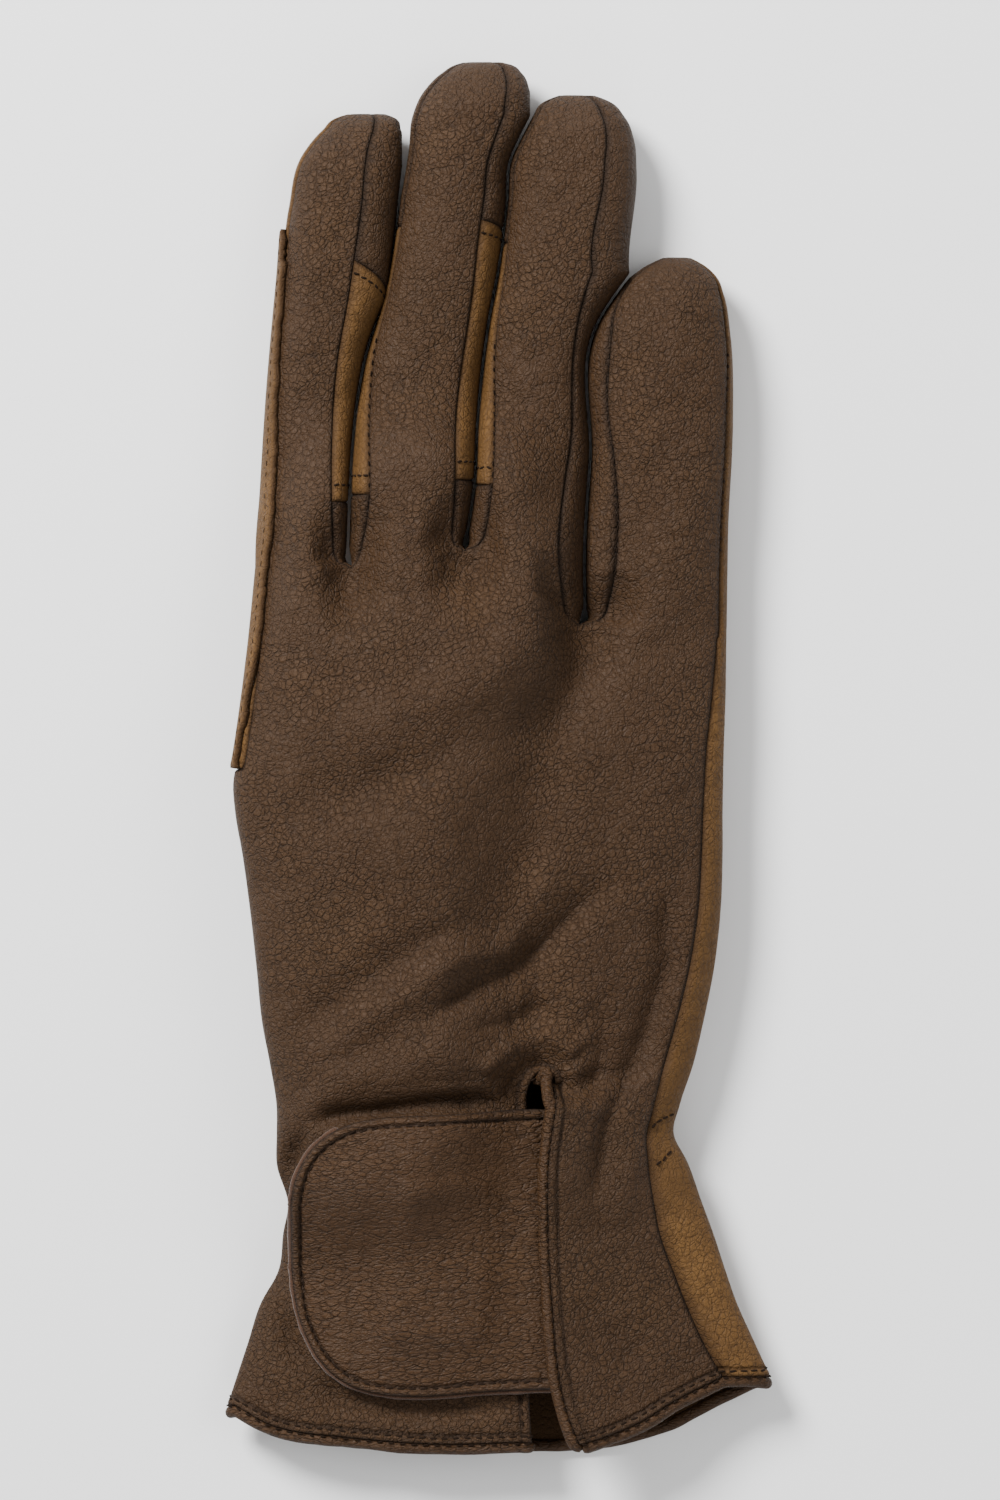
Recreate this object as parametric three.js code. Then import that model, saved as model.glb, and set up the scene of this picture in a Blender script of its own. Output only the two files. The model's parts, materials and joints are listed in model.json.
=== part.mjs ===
// A leather riding glove for the right hand, empty, lying palm down with its thumb tucked under the palm.
// Millimetres, +Z up, fingers along +Y. The lowest leather lies on Z = 0.
import * as THREE from 'three';

// Driving dimensions of the hand
const HAND_WIDTH = 84;
const WRIST_WIDTH = 69;
const CUFF_WIDTH = 96.6;
const BODY_LENGTH = 156;
const HAND_HEIGHT = 17;
const WRIST_HEIGHT = 14;
const CUFF_HEIGHT = 12;

// How far each fingertip reaches above the knuckle line, and how thick a finger lies
const INDEX_LENGTH = 79.8;
const MIDDLE_LENGTH = 88.9;
const RING_LENGTH = 83.1;
const LITTLE_LENGTH = 54.6;
const FINGER_HEIGHT = 14.4;

// Thumb, folded flat under the palm
const THUMB_LENGTH = 92;
const THUMB_WIDTH = 25;
const THUMB_HEIGHT = 7.2;
const LIFT_MARGIN = 4.5;
const LIFT_SLOPE_LENGTH = 18;

// Leather and clearances
const WALL = 1.1;
const SEAM_GAP = 0.3;
const FINGER_GAP = 0.5;
const PALM_CLEARANCE = 0.5;

// Wrist strap and the patch that it closes on
const STRAP_REACH = 43.4;
const STRAP_WIDTH = 50;
const STRAP_THICKNESS = 1.6;
const STRAP_CORNER = 13;
const STRAP_TUCK = 3;
const STRAP_RISE = 0.6;
const PATCH_THICKNESS = 1.2;

// Rolled leather that binds the hem and the right side of the wrist slit
const BINDING_DIAMETER = 2.2;
const FLAP_RAISE = 3.7;
const FLAP_SINK = 1.0;
const FLAP_BLEND = 24;

// Reinforcing strip along the index side
const STRIP_THICKNESS = 1.1;

// How many facets the leather is divided into
const FINGER_COLUMNS = 4;
const WALL_FACETS = 4;
const THUMB_FACETS = 16;
const ROLL_SIDES = 8;
const SECTION_POWER = 2.5;
const FLATTENING = 1.18;
const LONGEST_MITRE = 2;

const lerp = (a, b, share) => a + (b - a) * share;
const clamp = (value, low, high) => Math.min(high, Math.max(low, value));

function smooth(from, to, value) {
  const share = clamp((value - from) / (to - from), 0, 1);
  return share * share * (3 - 2 * share);
}

function table(columns, rows) {
  return rows.map((row) => Object.fromEntries(columns.map((name, i) => [name, row[i]])));
}

// Straight line between the two rows that hold a place, found by the table's first column
function lookUp(rows, place, column) {
  const key = Object.keys(rows[0])[0];
  const above = rows.findIndex((row) => place <= row[key]);
  if (above === 0) return rows[0][column];
  if (above < 0) return rows[rows.length - 1][column];
  const low = rows[above - 1];
  const high = rows[above];
  return lerp(low[column], high[column], (place - low[key]) / (high[key] - low[key]));
}

// Outline of the hand from the hem to the knuckle line: edges and the little-finger side's seam,
// as shares of the width that each row follows. The strip's thickness is left out of the left edge.
const BODY_OUTLINE = table(['up', 'of', 'left', 'right', 'seam'], [
  [0.040, CUFF_WIDTH, -0.500, 0.530, 0.085],
  [0.082, CUFF_WIDTH, -0.478, 0.500, 0.085],
  [0.129, CUFF_WIDTH, -0.453, 0.467, 0.092],
  [0.176, CUFF_WIDTH, -0.428, 0.433, 0.092],
  [0.208, CUFF_WIDTH, -0.399, 0.415, 0.094],
  [0.255, WRIST_WIDTH, -0.543, 0.546, 0.134],
  [0.286, WRIST_WIDTH, -0.530, 0.520, 0.121],
  [0.333, WRIST_WIDTH, -0.558, 0.482, 0.098],
  [0.365, WRIST_WIDTH, -0.558, 0.447, 0.066],
  [0.396, WRIST_WIDTH, -0.558, 0.462, 0.064],
  [0.443, WRIST_WIDTH, -0.574, 0.497, 0.073],
  [0.490, HAND_WIDTH, -0.488, 0.429, 0.056],
  [0.553, HAND_WIDTH, -0.500, 0.452, 0.051],
  [0.616, HAND_WIDTH, -0.513, 0.465, 0.046],
  [0.679, HAND_WIDTH, -0.529, 0.469, 0.043],
  [0.726, HAND_WIDTH, -0.544, 0.469, 0.040],
  [0.758, HAND_WIDTH, -0.548, 0.470, 0.038],
  [0.789, HAND_WIDTH, -0.538, 0.471, 0.036],
  [0.852, HAND_WIDTH, -0.521, 0.475, 0.028],
  [0.919, HAND_WIDTH, -0.506, 0.477, 0.019],
  [1.000, HAND_WIDTH, -0.492, 0.480, 0.017],
]).map((row) => ({ ...row, left: row.left * row.of, right: row.right * row.of, seam: row.seam * row.of }));

const BODY_HEIGHT = table(['up', 'height'], [
  [0.00, CUFF_HEIGHT],
  [0.33, WRIST_HEIGHT],
  [0.62, HAND_HEIGHT],
  [0.85, HAND_HEIGHT],
  [1.00, lerp(HAND_HEIGHT, FINGER_HEIGHT, 0.6)],
]);

// The cuff's cut edge: how far it lies above the hem's lowest point, across the cuff
const HEM_LINE = table(['across', 'up'], [
  [-0.500, 0.043],
  [-0.430, 0.020],
  [-0.320, 0.009],
  [-0.150, 0.001],
  [0.000, 0.002],
  [0.220, 0.009],
  [0.320, 0.027],
  [0.400, 0.051],
  [0.500, 0.076],
]);

// The slit in the back of the wrist: its two cut edges from the hem up, as shares of the wrist's width
const SLIT = table(['row', 'left', 'right'], [
  [0.00, 0.089, 0.205],
  [0.04, 0.084, 0.172],
  [0.09, 0.081, 0.150],
  [0.15, 0.080, 0.138],
  [0.242, 0.080, 0.126],
  [0.333, 0.080, 0.127],
  [0.40, 0.076, 0.146],
]);
const SLIT_END = 0.110;

// Where neighbouring fingers part, and how deep the body reaches up between them:
// places on the knuckle line as shares of the hand's width
const CROTCHES = table(['across', 'up'], [
  [-0.492, 0.000],
  [-0.3125, 0.000],
  [-0.069, 0.035],
  [0.183, -0.119],
  [0.480, -0.150],
]);

const PARTINGS = [
  table(['up', 'across'], [
    [0.00, -0.3125],
    [0.13, -0.307],
    [0.23, -0.302],
    [0.33, -0.292],
    [0.40, -0.279],
    [0.54, -0.2375],
    [0.66, -0.2146],
    [0.79, -0.196],
  ]),
  table(['up', 'across'], [
    [0.03, -0.069],
    [0.17, -0.047],
    [0.28, -0.042],
    [0.48, -0.019],
    [0.59, 0.002],
    [0.72, 0.019],
    [0.81, 0.029],
    [0.84, 0.044],
    [0.89, 0.071],
  ]),
  table(['up', 'across'], [
    [-0.11, 0.183],
    [0.03, 0.181],
    [0.21, 0.193],
    [0.50, 0.219],
    [0.53, 0.240],
    [0.57, 0.271],
    [0.61, 0.306],
  ]),
];

// Each finger's free outline as shares of the hand's width, and its two top seams
// as shares of its own half width, from the knuckle line to the tip
const FINGER_TABLE = ['along', 'left', 'right', 'leftSeam', 'rightSeam'];
const FINGERS = [
  {
    name: 'index',
    length: INDEX_LENGTH,
    outline: table(FINGER_TABLE, [
      [0.00, -0.492, -0.190, -0.84, 0.74],
      [0.14, -0.485, -0.190, -0.84, 0.64],
      [0.38, -0.471, -0.190, -0.88, 0.50],
      [0.63, -0.450, -0.190, -0.93, 0.37],
      [0.79, -0.435, -0.190, -0.94, 0.37],
      [0.91, -0.404, -0.196, -0.92, 0.31],
      [0.96, -0.365, -0.204, -0.90, 0.30],
      [1.00, -0.308, -0.240, -0.90, 0.30],
    ]),
  },
  {
    name: 'middle',
    length: MIDDLE_LENGTH,
    outline: table(FINGER_TABLE, [
      [0.00, -0.330, 0.090, -0.85, 0.84],
      [0.08, -0.330, 0.090, -0.73, 0.77],
      [0.30, -0.330, 0.090, -0.80, 0.68],
      [0.48, -0.330, 0.090, -0.93, 0.68],
      [0.62, -0.240, 0.090, -0.94, 0.60],
      [0.82, -0.185, 0.090, -0.92, 0.61],
      [0.89, -0.177, 0.071, -0.92, 0.57],
      [0.94, -0.152, 0.067, -0.90, 0.57],
      [0.975, -0.115, 0.050, -0.88, 0.57],
      [1.00, -0.067, -0.004, -0.88, 0.57],
    ]),
  },
  {
    name: 'ring',
    length: RING_LENGTH,
    outline: table(FINGER_TABLE, [
      [-0.12, -0.090, 0.300, -0.85, 0.70],
      [0.06, -0.090, 0.300, -0.72, 0.58],
      [0.20, -0.090, 0.300, -0.72, 0.62],
      [0.32, -0.070, 0.300, -0.73, 0.73],
      [0.48, -0.040, 0.300, -0.86, 0.73],
      [0.62, -0.020, 0.275, -0.94, 0.44],
      [0.84, 0.010, 0.290, -0.94, 0.50],
      [0.90, 0.046, 0.285, -0.92, 0.52],
      [0.95, 0.073, 0.265, -0.92, 0.52],
      [0.99, 0.102, 0.219, -0.90, 0.52],
      [1.00, 0.133, 0.196, -0.90, 0.52],
    ]),
  },
  {
    name: 'little',
    length: LITTLE_LENGTH,
    outline: table(FINGER_TABLE, [
      [-0.23, 0.170, 0.477, -0.85, 0.90],
      [-0.06, 0.170, 0.479, -0.62, 0.89],
      [0.12, 0.170, 0.481, -0.57, 0.90],
      [0.47, 0.170, 0.491, -0.76, 0.91],
      [0.74, 0.190, 0.486, -0.75, 0.94],
      [0.88, 0.240, 0.471, -0.92, 0.94],
      [0.92, 0.283, 0.462, -0.92, 0.94],
      [0.97, 0.3125, 0.431, -0.90, 0.92],
      [1.00, 0.346, 0.406, -0.90, 0.90],
    ]),
  },
];

// A fingertip's rounding: half height against the distance from the tip, in finger heights
const TIP_ROUNDING = table(['from_tip', 'half'], [
  [0.00, 0.00],
  [0.22, 0.58],
  [0.50, 0.82],
  [1.00, 0.95],
  [2.00, 1.00],
]);

// The thumb's middle line under the palm: places as shares of the hand's width and the body's length,
// and its half width and half height as shares of its own
const THUMB_LINE = table(['along', 'across', 'up'], [
  [0.00, -0.310, 0.424],
  [0.30, -0.345, 0.592],
  [0.57, -0.325, 0.752],
  [0.79, -0.245, 0.880],
  [1.00, -0.150, 0.984],
]);
const THUMB_OUTLINE = table(['along', 'half', 'height'], [
  [0.00, 0.45, 0.00],
  [0.05, 0.72, 0.80],
  [0.12, 0.93, 1.00],
  [0.30, 1.00, 1.00],
  [0.75, 0.94, 1.00],
  [0.90, 0.78, 1.00],
  [0.96, 0.60, 0.80],
  [1.00, 0.32, 0.00],
]);

// Folds of the resting leather: two ends on the back of the hand, across as shares of the hand's width
// and up as shares of the body's length, with half width and depth as shares of the hand's height
const FOLDS = table(['across', 'up', 'across2', 'up2', 'half', 'depth'], [
  [-0.43, 0.745, -0.15, 0.773, 0.40, 0.075],
  [-0.15, 0.773, 0.11, 0.829, 0.40, 0.080],
  [0.11, 0.829, 0.24, 0.908, 0.38, 0.070],
  [-0.41, 0.489, -0.07, 0.608, 0.30, 0.055],
  [-0.16, 0.494, 0.05, 0.553, 0.28, 0.090],
  [0.05, 0.553, 0.23, 0.642, 0.28, 0.090],
  [0.34, 0.659, 0.34, 0.545, 0.28, 0.090],
  [0.34, 0.545, 0.26, 0.417, 0.28, 0.120],
  [0.26, 0.417, 0.20, 0.275, 0.28, 0.110],
  [-0.42, 0.385, 0.02, 0.440, 0.28, 0.050],
]);

// Rows of the leather from the hem to the knuckles, and of each finger from its base to its tip
const BODY_ROWS = [0, 0.04, 0.09, 0.15, 0.20, 0.242, 0.29, 0.333, 0.40, 0.45,
  0.50, 0.56, 0.62, 0.69, 0.76, 0.82, 0.88, 0.94, 1];
const FINGER_ROWS = [0, 0.06, 0.14, 0.24, 0.35, 0.46, 0.57, 0.67, 0.74, 0.83, 0.91, 0.96, 1];
const THUMB_ROWS = [0, 0.05, 0.12, 0.21, 0.30, 0.40, 0.50, 0.61, 0.72, 0.82, 0.90, 0.96, 1];
const SLIT_TOP_ROW = 8;
const STRIP_START_ROW = 14;
const STRIP_END_ROW = 8;
const CROTCH_PIECE_ROWS = 2;
const TIP_PIECE_ROW = 7;
const THUMB_HOLE = { firstRow: 9, lastRow: 13, columns: 4 };
const THUMB_MOUTH = { firstRow: 2, lastRow: 6 };
const PATCH_CELLS = { firstRow: 2, lastRow: 7, firstColumn: 2, lastColumn: 6 };

const KNUCKLE_LINE = BODY_LENGTH / 2 - (MIDDLE_LENGTH / 2);
const HEM = KNUCKLE_LINE - BODY_LENGTH;
const CUT_EDGE = HEM + BINDING_DIAMETER + SEAM_GAP;
const COLUMNS = FINGER_COLUMNS * FINGERS.length;
const SLIT_COLUMN = FINGER_COLUMNS * 2.5;
const LIFT = THUMB_HEIGHT + SEAM_GAP;

// The thumb's middle line as points in plan, scaled to the thumb's own length about its base
const THUMB_POINTS = (() => {
  const raw = THUMB_LINE.map((row) => new THREE.Vector2(row.across * HAND_WIDTH, HEM + row.up * BODY_LENGTH));
  const drawn = raw.slice(1).reduce((sum, point, i) => sum + point.distanceTo(raw[i]), 0);
  return raw.map((point) => raw[0].clone().lerp(point, THUMB_LENGTH / drawn));
})();

function thumbAxis(share) {
  const place = share * (THUMB_POINTS.length - 1);
  const first = Math.min(Math.floor(place), THUMB_POINTS.length - 2);
  return THUMB_POINTS[first].clone().lerp(THUMB_POINTS[first + 1], place - first);
}

function distanceToLine(point, a, b) {
  const run = b.clone().sub(a);
  const share = clamp(point.clone().sub(a).dot(run) / run.lengthSq(), 0, 1);
  return point.distanceTo(a.clone().lerp(b, share));
}

// How high the palm is carried above the table by the thumb below it
function lift(x, y) {
  const point = new THREE.Vector2(x, y);
  const gaps = THUMB_POINTS.slice(1).map((end, i) => distanceToLine(point, THUMB_POINTS[i], end));
  const edge = THUMB_WIDTH / 2 + LIFT_MARGIN;
  return LIFT * (1 - smooth(edge, edge + LIFT_SLOPE_LENGTH, Math.min(...gaps)));
}

function foldDepth(x, y) {
  const point = new THREE.Vector2(x, y);
  const place = (across, up) => new THREE.Vector2(across * HAND_WIDTH, HEM + up * BODY_LENGTH);
  return FOLDS.reduce((deepest, fold) => {
    const gap = distanceToLine(point, place(fold.across, fold.up), place(fold.across2, fold.up2));
    const depth = fold.depth * HAND_HEIGHT * (1 - smooth(0, fold.half * HAND_HEIGHT, gap));
    return Math.max(deepest, depth);
  }, 0);
}

// Height over a section's middle, as a share of its half height, at a share of its half width
const arch = (across) => (1 - Math.min(1, Math.abs(across)) ** SECTION_POWER) ** (1 / SECTION_POWER);

function roundPoint(angle) {
  const c = Math.cos(angle);
  const s = Math.sin(angle);
  const size = (Math.abs(c) ** SECTION_POWER + Math.abs(s) ** SECTION_POWER) ** (1 / SECTION_POWER);
  return { across: c / size, over: s / size };
}

// A cross-section of flattened leather: points on its upper side, its lower side and its two ends
class Section {
  constructor(y, left, right, half, middle) {
    this.y = y;
    this.centre = (left + right) / 2;
    this.reach = (right - left) / 2;
    this.half = half;
    this.middle = middle;
  }

  share(x) {
    return clamp((x - this.centre) / this.reach, -0.999, 0.999);
  }

  point(across, over) {
    const x = this.centre + this.reach * across;
    return new THREE.Vector3(x, this.y, lift(x, this.y) + this.middle + this.half * over);
  }

  upper(across) {
    return this.point(across, arch(across));
  }

  lower(across) {
    return this.point(across, -Math.min(1, FLATTENING * arch(across)));
  }

  // Points round an end, from the upper seam to the lower one, both left out
  side(upperShare, lowerShare) {
    const start = Math.atan2(arch(upperShare), upperShare);
    const turn = upperShare > 0 ? -1 : 1;
    const end = Math.atan2(-arch(lowerShare), lowerShare);
    const sweep = turn < 0 ? end - start : (end + 2 * Math.PI) - start;
    return Array.from({ length: WALL_FACETS - 1 }, (_, i) => {
      const { across, over } = roundPoint(start + (sweep * (i + 1)) / WALL_FACETS);
      return this.point(across, over);
    });
  }
}

// The body's section at one height, with the seam inset on the little-finger side
function bodySection(y) {
  const up = (y - HEM) / BODY_LENGTH;
  const half = lookUp(BODY_HEIGHT, up, 'height') / 2;
  const section = new Section(y, lookUp(BODY_OUTLINE, up, 'left'), lookUp(BODY_OUTLINE, up, 'right'), half, half);
  section.seam = lookUp(BODY_OUTLINE, up, 'seam');
  return section;
}

function fingerSection(finger, index, y) {
  const along = (y - KNUCKLE_LINE) / finger.length;
  const up = (y - KNUCKLE_LINE) / MIDDLE_LENGTH;
  let left = lookUp(finger.outline, along, 'left') * HAND_WIDTH;
  let right = lookUp(finger.outline, along, 'right') * HAND_WIDTH;
  if (index > 0) {
    left = Math.max(left, lookUp(PARTINGS[index - 1], up, 'across') * HAND_WIDTH + FINGER_GAP / 2);
  }
  if (index < FINGERS.length - 1) {
    right = Math.min(right, lookUp(PARTINGS[index], up, 'across') * HAND_WIDTH - FINGER_GAP / 2);
  }
  const fromTip = (KNUCKLE_LINE + finger.length - y) / FINGER_HEIGHT;
  const half = lookUp(TIP_ROUNDING, fromTip, 'half');
  const middle = lerp(0.75, 1, half);
  const section = new Section(y, left, right, half * FINGER_HEIGHT / 2, middle * FINGER_HEIGHT / 2);
  section.leftSeam = lookUp(finger.outline, along, 'leftSeam');
  section.rightSeam = lookUp(finger.outline, along, 'rightSeam');
  return section;
}

// One skin holds every leather panel of the hand, so that neighbours share their seams
class Skin {
  constructor() {
    this.points = [];
    this.faces = [];
  }

  add(point) {
    this.points.push(point);
    return this.points.length - 1;
  }

  face(panel, ...corners) {
    const kept = corners.filter((corner, i) => corner !== corners[(i + 1) % corners.length]);
    if (kept.length > 2) this.faces.push({ panel, corners: kept });
  }

  // A band of faces between two rows of points that run the same way
  band(panel, lower, upper) {
    for (let i = 0; i + 1 < lower.length; i += 1) {
      const name = typeof panel === 'function' ? panel(i) : panel;
      if (name) this.face(name, lower[i], lower[i + 1], upper[i + 1], upper[i]);
    }
  }

  triangles(panel) {
    const chosen = this.faces.filter((face) => !panel || face.panel === panel);
    return chosen.flatMap(({ corners }) => corners.slice(2).map((_, i) => [corners[0], corners[i + 1], corners[i + 2]]));
  }

  faceNormal([a, b, c]) {
    const side = this.points[b].clone().sub(this.points[a]);
    return side.cross(this.points[c].clone().sub(this.points[a]));
  }

  finish() {
    this.normals = this.points.map(() => new THREE.Vector3());
    for (const triangle of this.triangles()) {
      const normal = this.faceNormal(triangle);
      for (const corner of triangle) this.normals[corner].add(normal);
    }
    this.normals.forEach((normal) => normal.normalize());
  }

  // Edges that belong to one face of the panel only, each with the face's way in from it
  openEdges(panel) {
    const edges = new Map();
    for (const { corners, panel: owner } of this.faces) {
      if (panel && owner !== panel) continue;
      const normal = this.faceNormal(corners.slice(0, 3)).normalize();
      corners.forEach((from, i) => {
        const to = corners[(i + 1) % corners.length];
        const inward = normal.clone().cross(this.points[to].clone().sub(this.points[from])).normalize();
        if (edges.has(`${to},${from}`)) edges.delete(`${to},${from}`);
        else edges.set(`${from},${to}`, { from, to, inward });
      });
    }
    return [...edges.values()];
  }

  // How each point on an open edge moves so that the edge itself moves in by one
  inwardMoves(panel) {
    const sums = new Map();
    for (const { from, to, inward } of this.openEdges(panel)) {
      for (const corner of [from, to]) {
        const known = sums.get(corner);
        if (known) known.push(inward);
        else sums.set(corner, [inward]);
      }
    }
    return new Map([...sums].map(([corner, ways]) => {
      const total = ways.reduce((sum, way) => sum.add(way), new THREE.Vector3());
      const mitre = Math.min(ways.length / total.length(), LONGEST_MITRE);
      return [corner, total.setLength(mitre)];
    }));
  }

  // Closed solid between two offsets of a panel, with its cut edges kept clear of the next panel
  solid(panel, outer, inner, clearance) {
    const moves = this.inwardMoves(panel);
    const used = new Map();
    const place = (corner, offset) => {
      const point = this.points[corner].clone().addScaledVector(this.normals[corner], offset);
      if (moves.has(corner)) point.addScaledVector(moves.get(corner), clearance);
      point.z = Math.max(point.z, 0);
      return point;
    };
    const triangles = this.triangles(panel);
    const corners = [...new Set(triangles.flat())];
    corners.forEach((corner, i) => used.set(corner, i));
    const points = corners.map((corner) => place(corner, outer));
    points.push(...corners.map((corner) => place(corner, inner)));
    const far = corners.length;
    const index = [];
    for (const triangle of triangles) {
      const [a, b, c] = triangle.map((corner) => used.get(corner));
      index.push(a, b, c, far + a, far + c, far + b);
    }
    for (const { from, to } of this.openEdges(panel)) {
      const [a, b] = [used.get(from), used.get(to)];
      index.push(b, a, far + b, far + b, a, far + a);
    }
    return solidGeometry(points, index);
  }
}

function solidGeometry(points, index) {
  const geometry = new THREE.BufferGeometry();
  geometry.setAttribute('position', new THREE.Float32BufferAttribute(points.flatMap((point) => point.toArray()), 3));
  geometry.setIndex(index);
  geometry.computeVertexNormals();
  return geometry;
}

// Hand skin

// Places across the body, from 0 at the thumb side's seam to 1 at the other, at the knuckle line
const baseShare = (column) => {
  const finger = Math.min(Math.floor(column / FINGER_COLUMNS), FINGERS.length - 1);
  const part = (column - finger * FINGER_COLUMNS) / FINGER_COLUMNS;
  const first = CROTCHES[0].across;
  const last = CROTCHES[CROTCHES.length - 1].across;
  return (lerp(CROTCHES[finger].across, CROTCHES[finger + 1].across, part) - first) / (last - first);
};

const baseHeight = (column) => {
  const finger = Math.min(Math.floor(column / FINGER_COLUMNS), FINGERS.length - 1);
  const part = (column - finger * FINGER_COLUMNS) / FINGER_COLUMNS;
  return KNUCKLE_LINE + HAND_WIDTH * lerp(CROTCHES[finger].up, CROTCHES[finger + 1].up, part);
};

const hemHeight = (x) => CUT_EDGE + BODY_LENGTH * lookUp(HEM_LINE, x / CUFF_WIDTH, 'up');
const hemPlace = (column) => lerp(-0.5, 0.5, column / COLUMNS) * CUFF_WIDTH;
const columnHeight = (column, row) => lerp(hemHeight(hemPlace(column)), baseHeight(column), row);

// Where a column crosses a row of the back, on one side of the slit or the other
function backPlace(column, row, side, section) {
  const left = section.centre - section.reach + HAND_WIDTH * 0.015;
  const right = section.centre + section.reach - section.seam;
  const slit = lookUp(SLIT, row, side) * WRIST_WIDTH;
  const end = lerp(slit, SLIT_END * WRIST_WIDTH, smooth(BODY_ROWS[SLIT_TOP_ROW], BODY_ROWS[SLIT_TOP_ROW + 1], row));
  const wrist = column <= SLIT_COLUMN
    ? lerp(left, end, column / SLIT_COLUMN)
    : lerp(end, right, (column - SLIT_COLUMN) / (COLUMNS - SLIT_COLUMN));
  return lerp(wrist, lerp(left, right, baseShare(column)), smooth(0.45, 1, row));
}

// How much the leather dips between two fingers near the knuckle line: 1 on a parting, 0 on a finger
function partingDip(column, row) {
  const part = (column / FINGER_COLUMNS) % 1;
  const inner = column > 0 && column < COLUMNS;
  const gap = Math.min(part, 1 - part);
  return inner ? (1 - smooth(0, 0.42, gap)) * smooth(0.86, 1, row) : 0;
}

// The two flaps of the slit lie at different heights, so that the strap passes between them
function flapStep(column, row, side, x) {
  const closed = smooth(BODY_ROWS[SLIT_TOP_ROW + 1], BODY_ROWS[SLIT_TOP_ROW], row);
  const edge = lookUp(SLIT, row, side) * WRIST_WIDTH;
  const near = 1 - smooth(0, FLAP_BLEND, Math.abs(x - edge));
  return closed * near * (side === 'right' ? FLAP_RAISE : -FLAP_SINK);
}

function backPoint(column, row, side) {
  const y = columnHeight(column, row);
  const section = bodySection(y);
  const x = backPlace(column, row, side, section);
  const point = section.upper(section.share(x));
  point.z += flapStep(column, row, side, x) - foldDepth(x, y) - HAND_HEIGHT * 0.30 * partingDip(column, row);
  return point;
}

function palmPoint(column, row) {
  const y = columnHeight(column, row);
  const section = bodySection(y);
  const share = lerp(column / COLUMNS, baseShare(column), smooth(0.45, 1, row));
  const point = section.lower(lerp(-0.95, 0.95, share));
  point.z += HAND_HEIGHT * 0.08 * partingDip(column, row);
  return point;
}

const range = (from, to) => Array.from({ length: to - from + 1 }, (_, i) => from + i);

const hand = new Skin();
const columns = range(0, COLUMNS);
const lastBodyRow = BODY_ROWS.length - 1;

// Rows of the body: back in two halves that share the slit's column above its end, palm and both sides
const body = BODY_ROWS.map((row, r) => {
  const back = columns.map((column) => hand.add(backPoint(column, row, column <= SLIT_COLUMN ? 'left' : 'right')));
  const slitRight = r <= SLIT_TOP_ROW ? hand.add(backPoint(SLIT_COLUMN, row, 'right')) : back[SLIT_COLUMN];
  const palm = columns.map((column) => hand.add(palmPoint(column, row)));
  const sides = [0, COLUMNS].map((column) => {
    const section = bodySection(columnHeight(column, row));
    const top = section.share(hand.points[back[column]].x);
    const low = section.share(hand.points[palm[column]].x);
    const inner = section.side(top, low).map((point) => hand.add(point));
    return [back[column], ...inner, palm[column]];
  });
  return {
    leftBack: back.slice(0, SLIT_COLUMN + 1),
    rightBack: [slitRight, ...back.slice(SLIT_COLUMN + 1)],
    back,
    palm,
    left: sides[0],
    right: sides[1],
  };
});

for (const r of range(0, lastBodyRow - 1)) {
  const [low, high] = [body[r], body[r + 1]];
  const holed = r >= THUMB_HOLE.firstRow && r < THUMB_HOLE.lastRow;
  hand.band('back', low.leftBack, high.leftBack);
  hand.band('back', low.rightBack, high.rightBack);
  hand.band((i) => (holed && i < THUMB_HOLE.columns ? null : 'palm'), high.palm, low.palm);
  hand.band('palm', low.right, high.right);
  hand.band(r < STRIP_START_ROW ? 'back' : 'palm', high.left, low.left);
}

// Lines where two fingers part, from the back down to the palm, and the body's two sides at its last row
const crotchLines = range(0, FINGERS.length).map((k) => {
  if (k === 0) return body[lastBodyRow].left;
  if (k === FINGERS.length) return body[lastBodyRow].right;
  const top = body[lastBodyRow].back[k * FINGER_COLUMNS];
  const low = body[lastBodyRow].palm[k * FINGER_COLUMNS];
  const inner = range(1, WALL_FACETS - 1).map((i) => {
    const point = hand.points[top].clone().lerp(hand.points[low], i / WALL_FACETS);
    return hand.add(point);
  });
  return [top, ...inner, low];
});

const GUSSETS = [
  { right: 'index', left: 'middle', crotch: 'index_middle_crotch_gusset' },
  { right: 'middle', left: 'ring', crotch: 'middle_ring_crotch_gusset' },
  { whole: 'ring_little_gusset' },
];

// The panel that closes one side of a finger between two of its rows
function wallPanel(finger, side, row) {
  const gap = side === 'right' ? finger : finger - 1;
  if (gap < 0 || gap >= GUSSETS.length) return 'palm';
  const pieces = GUSSETS[gap];
  if (pieces.whole) return pieces.whole;
  if (row < CROTCH_PIECE_ROWS) return pieces.crotch;
  const name = `${pieces[side]}_${side}`;
  return row < TIP_PIECE_ROW ? `${name}_gusset` : `${name}_tip_gusset`;
}

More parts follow.
